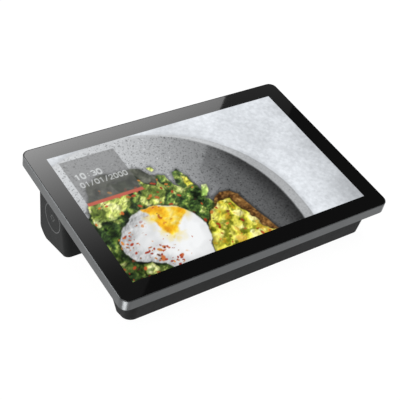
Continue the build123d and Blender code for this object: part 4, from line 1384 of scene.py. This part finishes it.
@dataclass
class Studio:
    """Camera, pale floor and soft light. None of it belongs to the display."""

    plane: ScreenPlane
    azimuth: float = 33.9
    elevation: float = 30.15
    distance: float = 0.7461
    lens_mm: float = 83.36
    sensor_mm: float = 36.0
    aim: tuple[float, float, float] = (-5.5 * MM, 0.7 * MM, -4.2 * MM)  # from the middle of the box
    lamp_aim: float = 0.04  # height of the display's middle
    room_glow: float = 0.06
    floor_start: float = 0.4  # radius of the ring next to its middle
    floor_radius: float = 4.0  # of its flat part
    floor_reach: float = 1.8  # radius of its rim, over that of the flat part
    floor_sweep: float = 0.16  # k in the height of the rim
    floor_sides: int = 96
    floor_rings: int = 12
    rim_rings: int = 24
    floor_gap: float = 0.05 * MM  # under the pads
    floor_tone: float = 0.06
    floor_glow: float = 0.97
    glare_distance: float = 1.3
    glare_half: float = 75 * MM  # from the middle of the glass to its near and its far edge
    glare_span: Point = (-0.15, 1.12)  # of a, so that a box ends beyond the glass
    glare_steps: tuple[int, int] = (24, 32)
    glare_start: float = -0.116  # u where the main box starts to fade
    glare_length: float = 0.177  # from there to its right end
    glare_limit: float = 9.0  # of a box's glow
    glass_mirror: float = 0.052  # share of light that the glass sends back
    card_size: float = 26 * MM
    card_out: float = 18 * MM  # from the left of the box to the middle of the card
    card_in: float = -9 * MM  # from the front of the box to the middle of the card, backwards
    card_glow: float = 8.0

    def camera(self) -> Array:
        """Make the camera, looking at the aim from its azimuth and elevation.

        Returns:
            Its place.
        """
        a, e = math.radians(self.azimuth), math.radians(self.elevation)
        back = np.array([-math.sin(a) * math.cos(e), -math.cos(a) * math.cos(e), math.sin(e)])
        place = middle_of(cad_box) + np.array(self.aim) + back * self.distance
        data = bpy.data.cameras.new("camera")
        data.lens, data.sensor_width = self.lens_mm, self.sensor_mm
        made = linked("camera", data)
        made.location = place
        made.rotation_euler = (math.pi / 2 - e, 0.0, -a)
        bpy.context.scene.camera = made
        return place

    def floor(self) -> Object:
        """Flat round floor whose rim sweeps up: height is k (r - r0)^2 beyond a radius r0.

        It glows, so that metal mirrors a white floor, but it lights no matt face.

        Returns:
            The floor.
        """
        flat = self.floor_radius
        radius = np.concatenate([[0.1 * MM], np.linspace(self.floor_start, flat, self.floor_rings),
                                 np.linspace(flat * 1.05, flat * self.floor_reach, self.rim_rings)])
        turn = np.linspace(0, 2 * np.pi, self.floor_sides, endpoint=False)
        r, t = np.meshgrid(radius, turn, indexing="ij")
        height = self.floor_sweep * np.clip(r - flat, 0, None)**2 - self.floor_gap
        points = np.stack([r * np.cos(t), r * np.sin(t), height], axis=-1)
        made = make_piece("floor", points.reshape(-1, 3), grid_faces(*r.shape, False, True), True)
        material = bpy.data.materials.new("white_studio_floor")
        material.use_nodes = True
        settings = {"Base Color": (*[self.floor_tone] * 3, 1), "Roughness": 0.9, "Specular IOR Level": 0.0,
                    "Emission Color": (1, 1, 1, 1), "Emission Strength": self.floor_glow}
        for name, value in settings.items():
            material.node_tree.nodes["Principled BSDF"].inputs[name].default_value = value
        made.data.materials.append(material)
        made.visible_diffuse = False
        return made

    def glare(self, eye: Array, box: Softbox) -> Object:
        """Make a softbox where the glass mirrors it between the box's two lines.

        Each point is where the ray from the eye to a place on the glass, mirrored there, meets a plane
        that faces the glass at the glare's distance.

        Args:
            eye: place of the camera.
            box: the softbox.

        Returns:
            Its mesh.
        """
        columns, rows = self.glare_steps
        across, along = np.meshgrid(np.linspace(0, 1, columns), np.linspace(*self.glare_span, rows))
        near, far = (box.left[k] + (box.right[k] - box.left[k]) * across for k in range(2))
        u, v = near + (far - near) * along, (along - 0.5) * 2 * self.glare_half
        spot = self.plane.place(u, v, 0.0)
        normal = self.plane.axes()[1]
        ray = spot - eye
        ray = ray - 2 * (ray @ normal)[..., None] * normal
        middle = self.plane.middle() - eye
        facing = middle - 2 * (middle @ normal) * normal
        facing = facing / np.linalg.norm(facing)
        reach = (self.glare_distance - (spot - self.plane.middle()) @ facing) / (ray @ facing)
        points = spot + ray * reach[..., None]
        made = make_piece(box.name, points.reshape(-1, 3), grid_faces(*u.shape, False, False), True)
        light = box.base + box.rise * np.clip(along, 0, None)**2
        light = light * (1 - box.fade * (u - self.glare_start) / self.glare_length)
        held = made.data.attributes.new("glow", "FLOAT", "POINT")
        glow = np.clip(light / self.glass_mirror, 0, self.glare_limit)
        held.data.foreach_set("value", glow.astype(np.float32).ravel())
        return light_up(made, box.name, "glow")

    def corner_card(self) -> Object:
        """Small bright card on the floor, which the rim's near left corner mirrors as a streak.

        Returns:
            The card.
        """
        u, v = np.meshgrid([-0.5, 0.5], [-0.5, 0.5])
        x = cad_box[0][0] - self.card_out + self.card_size * u
        y = cad_box[0][1] + self.card_in + self.card_size * v
        points = np.stack([x, y, 0 * u + MM], axis=-1)
        made = make_piece("corner_card", points.reshape(-1, 3), grid_faces(2, 2, False, False), False)
        return light_up(made, "white_card", self.card_glow)

    def build(self) -> None:
        """Make the camera, floor and lights."""
        eye = self.camera()
        self.floor()
        for lamp in LAMPS:
            lamp.build(self.lamp_aim)
        self.corner_card()
        for box in SOFTBOXES:
            self.glare(eye, box)
        world = bpy.data.worlds.new("dim_room")
        world.use_nodes = True
        background = world.node_tree.nodes["Background"]
        background.inputs["Color"].default_value = (1, 1, 1, 1)
        background.inputs["Strength"].default_value = self.room_glow
        bpy.context.scene.world = world
        bpy.context.scene.view_settings.view_transform = "Standard"


def main() -> None:
    """Build the display's looks in order, and report each new piece."""
    logging.basicConfig(level=logging.INFO, format="%(name)s: %(message)s")
    plane = ScreenPlane()
    Studio(plane).build()
    for part in (Screen(plane), Slab(), Leg(), Socket(), Button(), Foot()):
        for piece in part.build():
            log.info("%s: %s, %d faces", type(part).__name__, piece.name, len(piece.data.polygons))


if __name__ == "__main__":
    main()
